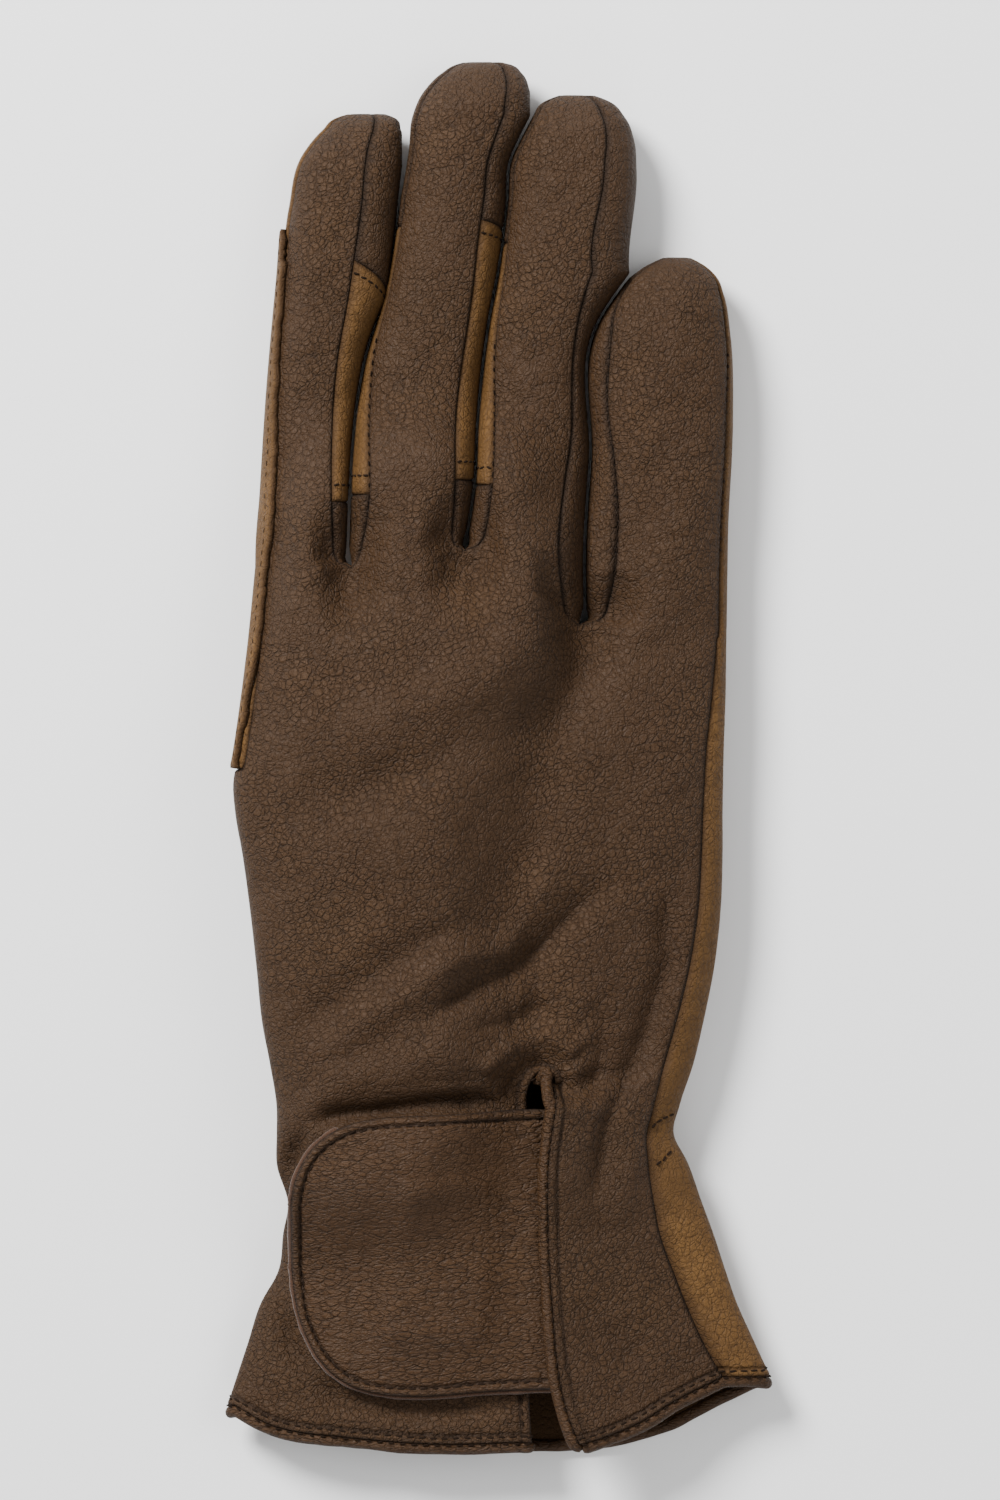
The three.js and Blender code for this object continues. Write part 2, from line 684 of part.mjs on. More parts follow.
const fingers = FINGERS.map((finger, k) => {
  const own = range(k * FINGER_COLUMNS, (k + 1) * FINGER_COLUMNS);
  const tip = KNUCKLE_LINE + finger.length;
  const rows = FINGER_ROWS.map((row, f) => {
    if (f === 0) {
      return {
        back: own.map((column) => body[lastBodyRow].back[column]),
        palm: own.map((column) => body[lastBodyRow].palm[column]),
        left: crotchLines[k],
        right: crotchLines[k + 1],
      };
    }
    const at = (column) => fingerSection(finger, k, lerp(baseHeight(column), tip, row));
    const leftEnd = at(own[0]);
    const rightEnd = at(own[own.length - 1]);
    const back = own.map((column, i) => {
      const section = at(column);
      return hand.add(section.upper(lerp(section.leftSeam, section.rightSeam, i / FINGER_COLUMNS)));
    });
    const closed = f === FINGER_ROWS.length - 1;
    const palm = closed ? back : own.map((column, i) => {
      const section = at(column);
      return hand.add(section.lower(lerp(-0.84, 0.84, i / FINGER_COLUMNS)));
    });
    const side = (section, top, low, a, b) => {
      if (closed) return range(0, WALL_FACETS).map(() => a);
      return [a, ...section.side(top, low).map((point) => hand.add(point)), b];
    };
    return {
      back,
      palm,
      left: side(leftEnd, leftEnd.leftSeam, -0.84, back[0], palm[0]),
      right: side(rightEnd, rightEnd.rightSeam, 0.84, back[FINGER_COLUMNS], palm[FINGER_COLUMNS]),
    };
  });
  rows.slice(1).forEach((high, f) => {
    const low = rows[f];
    hand.band('back', low.back, high.back);
    hand.band('palm', high.palm, low.palm);
    const last = f === FINGER_ROWS.length - 2;
    hand.band(last ? 'palm' : wallPanel(k, 'right', f), low.right, high.right);
    hand.band(last ? 'palm' : wallPanel(k, 'left', f), high.left, low.left);
  });
  return rows;
});

hand.finish();

// Materials
const leather = (colour, roughness) => new THREE.MeshStandardMaterial({ color: colour, roughness, metalness: 0 });
const BROWN = leather(0x4a3929, 0.62);
const TAN = leather(0x8a6a42, 0.66);
const TRIM = leather(0x483429, 0.5);
const FASTENER = leather(0x241d17, 0.95);

const glove = new THREE.Group();

function addPiece(name, geometry, material) {
  const piece = new THREE.Mesh(geometry, material);
  piece.name = name;
  glove.add(piece);
  return piece;
}

// Leather panels of the hand
const panelNames = [...new Set(hand.faces.map((face) => face.panel))];
const tanPanel = (name) => name === 'palm' || (/_gusset$/.test(name) && !/crotch|tip|little/.test(name));
for (const name of panelNames) {
  const clearance = name === 'palm' ? PALM_CLEARANCE : SEAM_GAP / 2;
  addPiece(name, hand.solid(name, 0, -WALL, clearance), tanPanel(name) ? TAN : BROWN);
}

// Thumb: a flattened pouch under the palm, open on top where it joins the hand

function thumbSkin() {
  const skin = new Skin();
  const rows = THUMB_ROWS.map((row, r) => {
    const place = thumbAxis(row);
    const way = thumbAxis(Math.min(1, row + 0.04)).sub(thumbAxis(Math.max(0, row - 0.04))).normalize();
    const reach = lookUp(THUMB_OUTLINE, row, 'half') * THUMB_WIDTH / 2;
    const half = lookUp(THUMB_OUTLINE, row, 'height') * THUMB_HEIGHT / 2;
    const closed = r === 0 || r === THUMB_ROWS.length - 1;
    const ring = range(0, THUMB_FACETS - 1).map((i) => {
      const { across, over } = roundPoint((2 * Math.PI * i) / THUMB_FACETS);
      const height = THUMB_HEIGHT / 2 + half * clamp(over * FLATTENING * 1.1, -1, 1);
      return new THREE.Vector3(place.x + way.y * reach * across, place.y - way.x * reach * across, height);
    });
    const ids = ring.map((point) => skin.add(point));
    // The two ends close flat: the lower half of the ring takes the upper half's points
    if (closed) ids.forEach((_, i) => { if (i > THUMB_FACETS / 2) ids[i] = ids[THUMB_FACETS - i]; });
    return [...ids, ids[0]];
  });
  const topFirst = THUMB_FACETS / 8;
  const topLast = THUMB_FACETS * 3 / 8;
  rows.slice(1).forEach((high, r) => {
    const mouth = r >= THUMB_MOUTH.firstRow && r < THUMB_MOUTH.lastRow;
    const owner = (i) => {
      const top = i >= topFirst && i < topLast;
      if (!top || r < THUMB_MOUTH.firstRow) return 'thumb_back';
      return mouth ? null : 'thumb_front';
    };
    skin.band(owner, high, rows[r]);
  });
  skin.finish();
  return skin;
}

const thumb = thumbSkin();
addPiece('thumb_back', thumb.solid('thumb_back', 0, -WALL, SEAM_GAP / 2), BROWN);
addPiece('thumb_front', thumb.solid('thumb_front', 0, -WALL, SEAM_GAP / 2), TAN);

// Pieces laid on the hand follow the facets under them at a constant clearance
function overlay(faces) {
  const skin = new Skin();
  skin.points = hand.points;
  skin.normals = hand.normals;
  skin.faces = faces;
  return skin;
}

const stripRows = [
  ...range(STRIP_START_ROW, lastBodyRow).map((r) => body[r].left),
  ...range(1, STRIP_END_ROW).map((f) => fingers[0][f].left),
];
const strip = overlay([]);
stripRows.slice(1).forEach((high, i) => strip.band('strip', high, stripRows[i]));
addPiece('index_side_strip', strip.solid('strip', SEAM_GAP + STRIP_THICKNESS, SEAM_GAP, 0), TAN);

const patch = overlay([]);
for (const r of range(PATCH_CELLS.firstRow, PATCH_CELLS.lastRow - 1)) {
  const cut = (row) => row.leftBack.slice(PATCH_CELLS.firstColumn, PATCH_CELLS.lastColumn + 1);
  patch.band('patch', cut(body[r]), cut(body[r + 1]));
}
addPiece('strap_patch', patch.solid('patch', SEAM_GAP + PATCH_THICKNESS, SEAM_GAP, 0), FASTENER);

// Height of the left flap's facets over a place in plan
const flapTriangles = range(0, SLIT_TOP_ROW).flatMap((r) => {
  const [low, high] = [body[r].leftBack, body[r + 1].leftBack];
  return range(0, SLIT_COLUMN - 1).flatMap((i) => [[low[i], low[i + 1], high[i + 1]], [low[i], high[i + 1], high[i]]]);
});

function flapHeight(x, y) {
  for (const triangle of flapTriangles) {
    const [a, b, c] = triangle.map((corner) => hand.points[corner]);
    const area = (b.x - a.x) * (c.y - a.y) - (c.x - a.x) * (b.y - a.y);
    const u = ((x - a.x) * (c.y - a.y) - (c.x - a.x) * (y - a.y)) / area;
    const v = ((b.x - a.x) * (y - a.y) - (x - a.x) * (b.y - a.y)) / area;
    if (u >= -0.001 && v >= -0.001 && u + v <= 1.001) return a.z + u * (b.z - a.z) + v * (c.z - a.z);
  }
  return null;
}

// Strap: a rounded tab from under the right flap, over the slit and the patch on the left flap
const STRAP_COLUMNS = 14;
const STRAP_ROWS = 8;
const strapMiddle = HEM + BINDING_DIAMETER + SEAM_GAP + BODY_LENGTH * 0.222;
const strapRoot = lookUp(SLIT, 0.242, 'right') * WRIST_WIDTH + STRAP_TUCK;
const strapEdge = lookUp(SLIT, 0.242, 'right') * WRIST_WIDTH - BINDING_DIAMETER - SEAM_GAP;
const strapTip = strapEdge - STRAP_REACH;

function strapHeight(x, y) {
  const section = bodySection(y);
  const left = section.centre - section.reach + HAND_WIDTH * 0.055;
  const right = lookUp(SLIT, 0.242, 'left') * WRIST_WIDTH - SEAM_GAP;
  const base = flapHeight(clamp(x, left, right), y);
  const overPatch = SEAM_GAP + PATCH_THICKNESS + SEAM_GAP + STRAP_RISE;
  return base + lerp(overPatch, STRAP_RISE, smooth(right - STRAP_REACH * 0.30, right - STRAP_REACH * 0.05, x));
}

function strapSkin() {
  const skin = new Skin();
  const rows = range(0, STRAP_COLUMNS).map((i) => {
    const share = i / STRAP_COLUMNS;
    const x = lerp(strapTip, strapRoot, 0.004 + 0.996 * share ** 1.6);
    const turned = clamp(1 - (x - strapTip) / STRAP_CORNER, 0, 1);
    const reach = (STRAP_WIDTH / 2) * (1 - turned ** SECTION_POWER) ** (1 / SECTION_POWER);
    return range(0, STRAP_ROWS).map((j) => {
      const y = strapMiddle + reach * lerp(-1, 1, j / STRAP_ROWS);
      return skin.add(new THREE.Vector3(x, y, strapHeight(x, y) + STRAP_THICKNESS));
    });
  });
  rows.slice(1).forEach((next, i) => skin.band('strap', next, rows[i]));
  skin.normals = skin.points.map(() => new THREE.Vector3(0, 0, 1));
  return skin;
}

addPiece('strap', strapSkin().solid('strap', 0, -STRAP_THICKNESS, 0), TRIM);

// Rolled bindings: a round roll just past the cut edge, at the middle of the leather's thickness
function rollPath(ids) {
  const moves = hand.inwardMoves();
  const radius = BINDING_DIAMETER / 2;
  return ids.map((id) => {
    const centre = hand.points[id].clone()
      .addScaledVector(hand.normals[id], -WALL / 2)
      .addScaledVector(moves.get(id), -radius - SEAM_GAP);
    centre.z = Math.max(centre.z, radius);
    return centre;
  });
}

function rollGeometry(path) {
  const radius = BINDING_DIAMETER / 2;
  const points = [];
  const index = [];
  let across = new THREE.Vector3(0, 0, 1);
  path.forEach((centre, i) => {
    const before = path[Math.max(0, i - 1)];
    const after = path[Math.min(path.length - 1, i + 1)];
    const way = after.clone().sub(before).normalize();
    across = across.clone().addScaledVector(way, -across.dot(way)).normalize();
    const other = way.clone().cross(across);
    for (const side of range(0, ROLL_SIDES - 1)) {
      const angle = (2 * Math.PI * side) / ROLL_SIDES;
      points.push(centre.clone()
        .addScaledVector(across, radius * Math.cos(angle))
        .addScaledVector(other, radius * Math.sin(angle)));
    }
  });
  const at = (ring, side) => ring * ROLL_SIDES + (side % ROLL_SIDES);
  for (const ring of range(0, path.length - 2)) {
    for (const side of range(0, ROLL_SIDES - 1)) {
      const [a, b, c, d] = [at(ring, side), at(ring, side + 1), at(ring + 1, side + 1), at(ring + 1, side)];
      index.push(a, b, c, a, c, d);
    }
  }
  const last = path.length - 1;
  for (const side of range(1, ROLL_SIDES - 2)) {
    index.push(at(0, 0), at(0, side + 1), at(0, side));
    index.push(at(last, 0), at(last, side), at(last, side + 1));
  }
  return solidGeometry(points, index);
}

const slitEdge = range(0, SLIT_TOP_ROW).reverse().map((r) => body[r].rightBack[0]);
const slitTurn = body[0].rightBack[1];
addPiece('slit_binding', rollGeometry(rollPath([...slitEdge, slitTurn])), TRIM);

const hemEdge = [
  ...body[0].rightBack.slice(1),
  ...body[0].right.slice(1),
  ...body[0].palm.slice(0, -1).reverse(),
  ...body[0].left.slice(0, -1).reverse(),
  ...body[0].leftBack.slice(1),
];
const hemPath = rollPath(hemEdge);
hemPath[0].lerp(hemPath[1], SEAM_GAP / hemPath[0].distanceTo(hemPath[1]));
addPiece('hem_binding', rollGeometry(hemPath), TRIM);

// The part's reference point is the middle of its base
const bounds = new THREE.Box3().setFromObject(glove);
const middle = bounds.getCenter(new THREE.Vector3());
glove.position.set(-middle.x, -middle.y, -bounds.min.z);

export default glove;
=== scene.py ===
# %% [markdown]
# # A leather riding glove, lying palm down
#
# A real glove is a handful of flat leather panels sewn edge to edge: one back, one palm, thin strips
# between the fingers, a thumb, a wrist strap and rolled edges. The frame holds each of them as a plain
# closed solid. Here every panel is drawn again with a fine surface, in the same place and with the same
# seams, and gets its folds, its grain and its stitches.

# %% Load the frame
import json
import math

import bpy
import numpy as np
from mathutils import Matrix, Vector
from mathutils.bvhtree import BVHTree
from mathutils.kdtree import KDTree


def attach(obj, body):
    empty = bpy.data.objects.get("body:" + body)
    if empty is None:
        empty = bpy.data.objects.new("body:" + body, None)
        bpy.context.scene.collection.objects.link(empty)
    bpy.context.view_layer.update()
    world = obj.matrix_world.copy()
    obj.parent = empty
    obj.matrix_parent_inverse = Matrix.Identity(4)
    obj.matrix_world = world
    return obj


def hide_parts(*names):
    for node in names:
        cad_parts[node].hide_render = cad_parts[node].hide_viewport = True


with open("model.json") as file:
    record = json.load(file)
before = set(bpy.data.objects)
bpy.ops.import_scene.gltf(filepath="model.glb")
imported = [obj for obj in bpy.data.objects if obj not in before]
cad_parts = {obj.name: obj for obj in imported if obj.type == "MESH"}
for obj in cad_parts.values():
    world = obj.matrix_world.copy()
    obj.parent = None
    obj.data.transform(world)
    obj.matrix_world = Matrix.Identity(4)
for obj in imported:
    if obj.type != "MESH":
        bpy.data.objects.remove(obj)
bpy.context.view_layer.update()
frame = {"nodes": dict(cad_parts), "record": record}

print("frame nodes:", len(frame["nodes"]))

# %% [markdown]
# ## The camera and the light
#
# The photograph looks straight down on the table. A long lens from far away keeps the outline true, as a
# catalogue photographer would. `PIXEL` ties the photograph to real size, so that a place seen in it can
# be written down and then found on the glove.

# %% Photograph's scale and camera
MM = 0.001
PIXEL = 0.175 * MM
PHOTO_WIDTH, PHOTO_HEIGHT = 1000, 1500
MIDDLE_PIXEL = (497.5, 759.1)
CAMERA_DISTANCE = 1.6
OUTLINE_HEIGHT = 8 * MM
SENSOR = 36.0


def photo_x(px):
    return (px - MIDDLE_PIXEL[0]) * PIXEL


def photo_y(py):
    return (MIDDLE_PIXEL[1] - py) * PIXEL


def place(px, py):
    """Where a pixel of the photograph lies in plan, in metres."""
    return np.array([photo_x(px), photo_y(py)])


def places(pixels):
    return np.array([place(x, y) for x, y in pixels])


def add_camera():
    data = bpy.data.cameras.new("camera")
    data.sensor_fit = "VERTICAL"
    data.sensor_height = SENSOR
    data.lens = SENSOR * CAMERA_DISTANCE / (PHOTO_HEIGHT * PIXEL)
    camera = bpy.data.objects.new("camera", data)
    x, y = place(PHOTO_WIDTH / 2, PHOTO_HEIGHT / 2)
    camera.location = (x, y, CAMERA_DISTANCE + OUTLINE_HEIGHT)
    bpy.context.collection.objects.link(camera)
    bpy.context.scene.camera = camera
    return camera


camera = add_camera()
print("camera lens:", round(camera.data.lens), "mm")

# %% Floor and lights
FLOOR_SIZE, FLOOR_DROP, FLOOR_GREY = 3.0, 0.4 * MM, 0.88
WORLD_LIGHT = 0.55


def add_area(name, location, size, power):
    data = bpy.data.lights.new(name, "AREA")
    data.shape = "DISK"
    data.size = size
    data.energy = power
    light = bpy.data.objects.new(name, data)
    light.location = location
    light.rotation_euler = (-Vector(location)).to_track_quat("-Z", "Y").to_euler()
    bpy.context.collection.objects.link(light)


def add_floor():
    mesh = bpy.data.meshes.new("floor")
    half = FLOOR_SIZE / 2
    corners = [(-half, -half, 0), (half, -half, 0), (half, half, 0), (-half, half, 0)]
    mesh.from_pydata(corners, [], [(0, 1, 2, 3)])
    floor = bpy.data.objects.new("floor", mesh)
    floor.location.z = -FLOOR_DROP
    bpy.context.collection.objects.link(floor)
    material = bpy.data.materials.new("pale floor")
    material.use_nodes = True
    shader = material.node_tree.nodes["Principled BSDF"]
    shader.inputs["Base Color"].default_value = (FLOOR_GREY, FLOOR_GREY, FLOOR_GREY, 1)
    shader.inputs["Roughness"].default_value = 0.9
    mesh.materials.append(material)


add_floor()
add_area("key light", (-0.62, 0.72, 0.85), size=0.5, power=42.0)
add_area("fill light", (0.8, 0.1, 1.0), size=0.9, power=6.0)
add_area("low light", (0.1, -1.0, 0.6), size=0.6, power=3.0)
world = bpy.data.worlds.new("studio")
world.use_nodes = True
background = world.node_tree.nodes["Background"]
background.inputs["Color"].default_value = (1, 1, 1, 1)
background.inputs["Strength"].default_value = WORLD_LIGHT
bpy.context.scene.world = world
print("lights:", len(bpy.data.lights))

# %% [markdown]
# ## Leather as a material
#
# A glove maker's leather has a grain that is stretched over the fingers and left pebbled on the hand.
# It could be painted as a picture. Procedural textures are used instead: Voronoi cells give the pebbles
# and the creases, noise gives the dye its patches, and a Bump node turns their heights into light and
# shade. One small class lets the heights be written as sums, and each sum adds its own nodes.

# %% Shader helpers
class Value:
    """A socket's value, which arithmetic can be done on."""

    def __init__(self, shader, socket):
        self.shader = shader
        self.socket = socket

    def math(self, operation, *values):
        return self.shader.node("ShaderNodeMath", {"operation": operation}, dict(enumerate(values)))

    def __add__(self, other):
        return self.math("ADD", self, other)

    def __sub__(self, other):
        return self.math("SUBTRACT", self, other)

    def __mul__(self, other):
        return self.math("MULTIPLY", self, other)

    def __rsub__(self, other):
        return self.math("SUBTRACT", other, self)

    __radd__ = __add__
    __rmul__ = __mul__

    def step(self, low, high):
        """0 below the first value, 1 above the second, and smooth between."""
        settings = {"interpolation_type": "SMOOTHSTEP"}
        inputs = {"Value": self, "From Min": low, "From Max": high}
        return self.shader.node("ShaderNodeMapRange", settings, inputs)


class Shader:
    """A material, its Principled shader and a short way to add nodes to it."""

    def __init__(self, name):
        self.material = bpy.data.materials.new(name)
        self.material.use_nodes = True
        self.tree = self.material.node_tree
        self.principled = self.tree.nodes["Principled BSDF"]

    def node(self, kind, settings=None, inputs=None, output=0):
        made = self.tree.nodes.new(kind)
        for key, value in (settings or {}).items():
            setattr(made, key, value)
        for key, value in (inputs or {}).items():
            self.set(made.inputs[key], value)
        return Value(self, made.outputs[output])

    def set(self, socket, value):
        if isinstance(value, Value):
            self.tree.links.new(value.socket, socket)
        else:
            socket.default_value = value

    def mix(self, a, b, share):
        sockets = {0: share, 6: a, 7: b}
        return self.node("ShaderNodeMix", {"data_type": "RGBA"}, sockets, output=2)

    def place(self, scale=(1, 1, 1)):
        """Place on the object, stretched along its axes."""
        where = self.node("ShaderNodeTexCoord", output="Object")
        return self.node("ShaderNodeMapping", {}, {"Vector": where, "Scale": scale})

    def noise(self, place, scale, detail=3.0):
        return self.node("ShaderNodeTexNoise", {}, {"Vector": place, "Scale": scale, "Detail": detail})

    def warp(self, place, scale, amount):
        """The same place pushed about by noise, so that cells don't look ruled."""
        inputs = {"Vector": place, "Scale": scale, "Detail": 2.0}
        pushed = self.node("ShaderNodeTexNoise", {}, inputs, output="Color")
        settings = {"operation": "MULTIPLY_ADD"}
        return self.node("ShaderNodeVectorMath", settings, {0: pushed, 1: (amount,) * 3, 2: place})

    def cells(self, place, scale):
        """Distance to the nearest edge between cells, near 0 in the creases."""
        settings = {"feature": "DISTANCE_TO_EDGE"}
        return self.node("ShaderNodeTexVoronoi", settings, {"Vector": place, "Scale": scale})

    def attribute(self, name):
        return self.node("ShaderNodeAttribute", {"attribute_name": name}, output="Fac")

    def surface(self, **constants):
        for key, value in constants.items():
            self.principled.inputs[key.replace("_", " ")].default_value = value


def rgba(red, green, blue):
    return (red, green, blue, 1.0)


# %% Leathers
# Sizes of the grain's cells, and how deep the grain is
PEBBLE, CREASE, PORE = 1.15 * MM, 3.1 * MM, 0.24 * MM
RELIEF = 0.22 * MM
PATCH_SCALE = 60.0
LEATHER_GLOSS = 0.17


def leather(name, colour, worn, dark, roughness, grain=1.0, across=1.0, along=1.0):
    """Grained leather: colour on the flat and where rubbed, and dark painted shade in creases and seams."""
    shader = Shader(name)
    place = shader.place((across, along, 1))
    warped = shader.warp(place, 0.6 / PEBBLE, 1.1 * PEBBLE)
    pebbles = shader.cells(warped, 1 / PEBBLE).step(0.0, 0.17)
    beads = shader.cells(shader.warp(place, 1.2 / PEBBLE, 0.5 * PEBBLE), 2.1 / PEBBLE).step(0.0, 0.2)
    creases = shader.cells(shader.warp(place, 0.6 / CREASE, 1.4 * CREASE), 1 / CREASE).step(0.0, 0.075)
    net = shader.cells(shader.warp(place, 1.0 / CREASE, 0.8 * CREASE), 1.9 / CREASE).step(0.0, 0.11)
    pores = shader.noise(place, 1 / PORE, 2.0)
    patches = shader.noise(place, PATCH_SCALE, 4.0)
    coarse = patches.step(0.36, 0.60)
    cracks = creases * 0.5 + net * 0.5
    # The grain's height is a sum of all of these, and its lowest places take the dark colour as painted shade
    height = grain * (pebbles * (0.35 + coarse * 0.4) + beads * 0.2 + cracks * 0.75) + pores * 0.3
    seam = shader.attribute("seam")
    lit = shader.mix(rgba(*colour), rgba(*worn), patches.step(0.42, 0.75) * 0.8)
    depth = (1 - pebbles) * 0.42 + (1 - beads) * 0.14 + (1 - cracks) * 0.52
    creased = shader.mix(lit, rgba(*dark), depth * (0.40 + coarse * 0.28))
    # The "seam" attribute paints shade near seams, in deep folds and in stitch grooves, and takes the inner
    # face to the dark colour in full
    base = shader.mix(creased, rgba(*dark), seam * 0.75)
    shader.set(shader.principled.inputs["Base Color"], base)
    shader.set(shader.principled.inputs["Roughness"], roughness + (patches - 0.5) * 0.18 + seam * 0.12)
    bump = shader.node("ShaderNodeBump", {}, {"Height": height, "Distance": RELIEF, "Strength": 1.0})
    shader.set(shader.principled.inputs["Normal"], bump)
    shader.surface(Specular_IOR_Level=LEATHER_GLOSS)
    return shader.material


# Each leather: its own colour, its rubbed colour, and the dark colour of its painted shade
BROWN_LEATHER = leather(
    "brown leather", (0.0350, 0.0168, 0.0061), (0.0475, 0.0238, 0.0093), (0.006, 0.0026, 0.0009),
    roughness=0.62)
TAN_LEATHER = leather(
    "tan leather", (0.075, 0.0365, 0.0098), (0.114, 0.057, 0.0165), (0.020, 0.0085, 0.0024),
    roughness=0.68, grain=0.55)
TRIM_LEATHER = leather(
    "trim leather", (0.0400, 0.0190, 0.0070), (0.0510, 0.0250, 0.0098), (0.006, 0.0026, 0.0009),
    roughness=0.58, across=0.55, along=1.25)
print("leathers:", BROWN_LEATHER.name, TAN_LEATHER.name, TRIM_LEATHER.name)

# %% Thread, hook and loop tape, and raw leather
def plain_material(name, colour, roughness):
    shader = Shader(name)
    shader.surface(Base_Color=rgba(*colour), Roughness=roughness, Specular_IOR_Level=0.1)
    return shader.material


def napped_material(name, colour, dark, size, relief):
    """Short pile or raw leather: a fine noise in height and colour."""
    shader = Shader(name)
    pile = shader.noise(shader.place(), 1 / size, 3.0)
    shade = shader.mix(rgba(*dark), rgba(*colour), pile.step(0.3, 0.7))
    shader.set(shader.principled.inputs["Base Color"], shade)
    bump = shader.node("ShaderNodeBump", {}, {"Height": pile, "Distance": relief})
    shader.set(shader.principled.inputs["Normal"], bump)
    shader.surface(Roughness=0.95, Specular_IOR_Level=0.2, Sheen_Weight=0.2)
    return shader.material


DARK_THREAD = plain_material("dark thread", (0.010, 0.0052, 0.0026), 0.85)
HOOK_AND_LOOP = napped_material("hook and loop tape", (0.035, 0.024, 0.017), (0.012, 0.008, 0.006),
                                size=0.35 * MM, relief=0.25 * MM)
RAW_EDGE = napped_material("raw leather edge", (0.062, 0.029, 0.015), (0.024, 0.011, 0.0055),
                           size=0.2 * MM, relief=0.1 * MM)
FINISHES = {
    "brown_leather": BROWN_LEATHER,
    "tan_leather": TAN_LEATHER,
    "trim_leather": TRIM_LEATHER,
    "hook_and_loop": HOOK_AND_LOOP,
}
print("finishes:", len(FINISHES))

# %% [markdown]
# ## The pattern of the hand
#
# The outlines are short tables, as in a pattern maker's notes: each row is a height along the hand or
# the finger, and its columns are shares of a named width. A cubic curve through the rows gives the
# smooth edge. The numbers are those of the frame's solids, so both share every seam.

# %% Sizes and tables
HAND_WIDTH, WRIST_WIDTH, CUFF_WIDTH = 84 * MM, 69 * MM, 96.6 * MM
BODY_LENGTH = 156 * MM
HAND_HEIGHT, WRIST_HEIGHT, CUFF_HEIGHT = 17 * MM, 14 * MM, 12 * MM
FINGER_HEIGHT = 14.4 * MM
INDEX_LENGTH, MIDDLE_LENGTH = 79.8 * MM, 88.9 * MM
RING_LENGTH, LITTLE_LENGTH = 83.1 * MM, 54.6 * MM
THUMB_LENGTH, THUMB_WIDTH, THUMB_HEIGHT = 92 * MM, 25 * MM, 7.2 * MM
LIFT_MARGIN, LIFT_SLOPE = 4.5 * MM, 18 * MM
WALL = 1.1 * MM
SEAM_GAP = 0.3 * MM
FINGER_GAP = 0.5 * MM
BINDING = 2.2 * MM
FLAP_RAISE, FLAP_SINK, FLAP_BLEND = 3.7 * MM, 1.0 * MM, 24 * MM
KNUCKLE_LINE = BODY_LENGTH / 2 - MIDDLE_LENGTH / 2
HEM = KNUCKLE_LINE - BODY_LENGTH
CUT_EDGE = HEM + BINDING + SEAM_GAP


def table(columns, rows):
    return {name: np.array([row[i] for row in rows], float) for i, name in enumerate(columns)}


def curve(rows, at, column):
    """Smooth curve through a table's rows: cubic, with each row's slope taken from its neighbours."""
    xs = rows[next(iter(rows))]
    ys = rows[column]
    slopes = np.gradient(ys, xs)
    at = np.clip(at, xs[0], xs[-1])
    i = np.clip(np.searchsorted(xs, at) - 1, 0, len(xs) - 2)
    run = xs[i + 1] - xs[i]
    t = (at - xs[i]) / run
    return ((2 * t ** 3 - 3 * t ** 2 + 1) * ys[i] + (t ** 3 - 2 * t ** 2 + t) * run * slopes[i]
            + (3 * t ** 2 - 2 * t ** 3) * ys[i + 1] + (t ** 3 - t ** 2) * run * slopes[i + 1])


def smooth(low, high, value):
    share = np.clip((value - low) / (high - low), 0, 1)
    return share * share * (3 - 2 * share)


def mix(a, b, share):
    return a + (b - a) * share


BODY = table(["up", "of", "left", "right", "seam"], [
    [0.040, CUFF_WIDTH, -0.500, 0.515, 0.085],
    [0.082, CUFF_WIDTH, -0.478, 0.500, 0.085],
    [0.129, CUFF_WIDTH, -0.453, 0.467, 0.092],
    [0.176, CUFF_WIDTH, -0.428, 0.433, 0.092],
    [0.208, CUFF_WIDTH, -0.399, 0.415, 0.094],
    [0.255, WRIST_WIDTH, -0.543, 0.546, 0.134],
    [0.286, WRIST_WIDTH, -0.530, 0.520, 0.121],
    [0.333, WRIST_WIDTH, -0.558, 0.482, 0.098],
    [0.365, WRIST_WIDTH, -0.558, 0.447, 0.066],
    [0.396, WRIST_WIDTH, -0.558, 0.462, 0.064],
    [0.443, WRIST_WIDTH, -0.574, 0.497, 0.073],
    [0.490, HAND_WIDTH, -0.488, 0.429, 0.056],
    [0.553, HAND_WIDTH, -0.500, 0.452, 0.051],
    [0.616, HAND_WIDTH, -0.513, 0.465, 0.046],
    [0.679, HAND_WIDTH, -0.529, 0.469, 0.043],
    [0.726, HAND_WIDTH, -0.544, 0.469, 0.040],
    [0.758, HAND_WIDTH, -0.548, 0.470, 0.038],
    [0.789, HAND_WIDTH, -0.538, 0.471, 0.036],
    [0.852, HAND_WIDTH, -0.521, 0.475, 0.028],
    [0.919, HAND_WIDTH, -0.506, 0.477, 0.019],
    [1.000, HAND_WIDTH, -0.492, 0.480, 0.017],
])
for edge in ("left", "right", "seam"):
    BODY[edge] = BODY[edge] * BODY["of"]

BODY_HEIGHT = table(["up", "height"], [
    [0.00, CUFF_HEIGHT],
    [0.33, WRIST_HEIGHT],
    [0.62, HAND_HEIGHT],
    [0.85, HAND_HEIGHT],
    [1.00, mix(HAND_HEIGHT, FINGER_HEIGHT, 0.6)],
])

HEM_LINE = table(["across", "up"], [
    [-0.500, 0.043],
    [-0.430, 0.020],
    [-0.320, 0.009],
    [-0.150, 0.001],
    [0.000, 0.002],
    [0.220, 0.009],
    [0.320, 0.027],
    [0.400, 0.051],
    [0.500, 0.076],
])

SLIT = table(["row", "left", "right"], [
    [0.00, 0.089, 0.205],
    [0.04, 0.084, 0.172],
    [0.09, 0.081, 0.150],
    [0.15, 0.080, 0.138],
    [0.242, 0.080, 0.126],
    [0.333, 0.080, 0.127],
    [0.40, 0.076, 0.146],
])
SLIT_END = 0.110

CROTCHES = table(["across", "up"], [
    [-0.492, 0.000],
    [-0.3125, 0.000],
    [-0.069, 0.035],
    [0.183, -0.119],
    [0.480, -0.150],
])

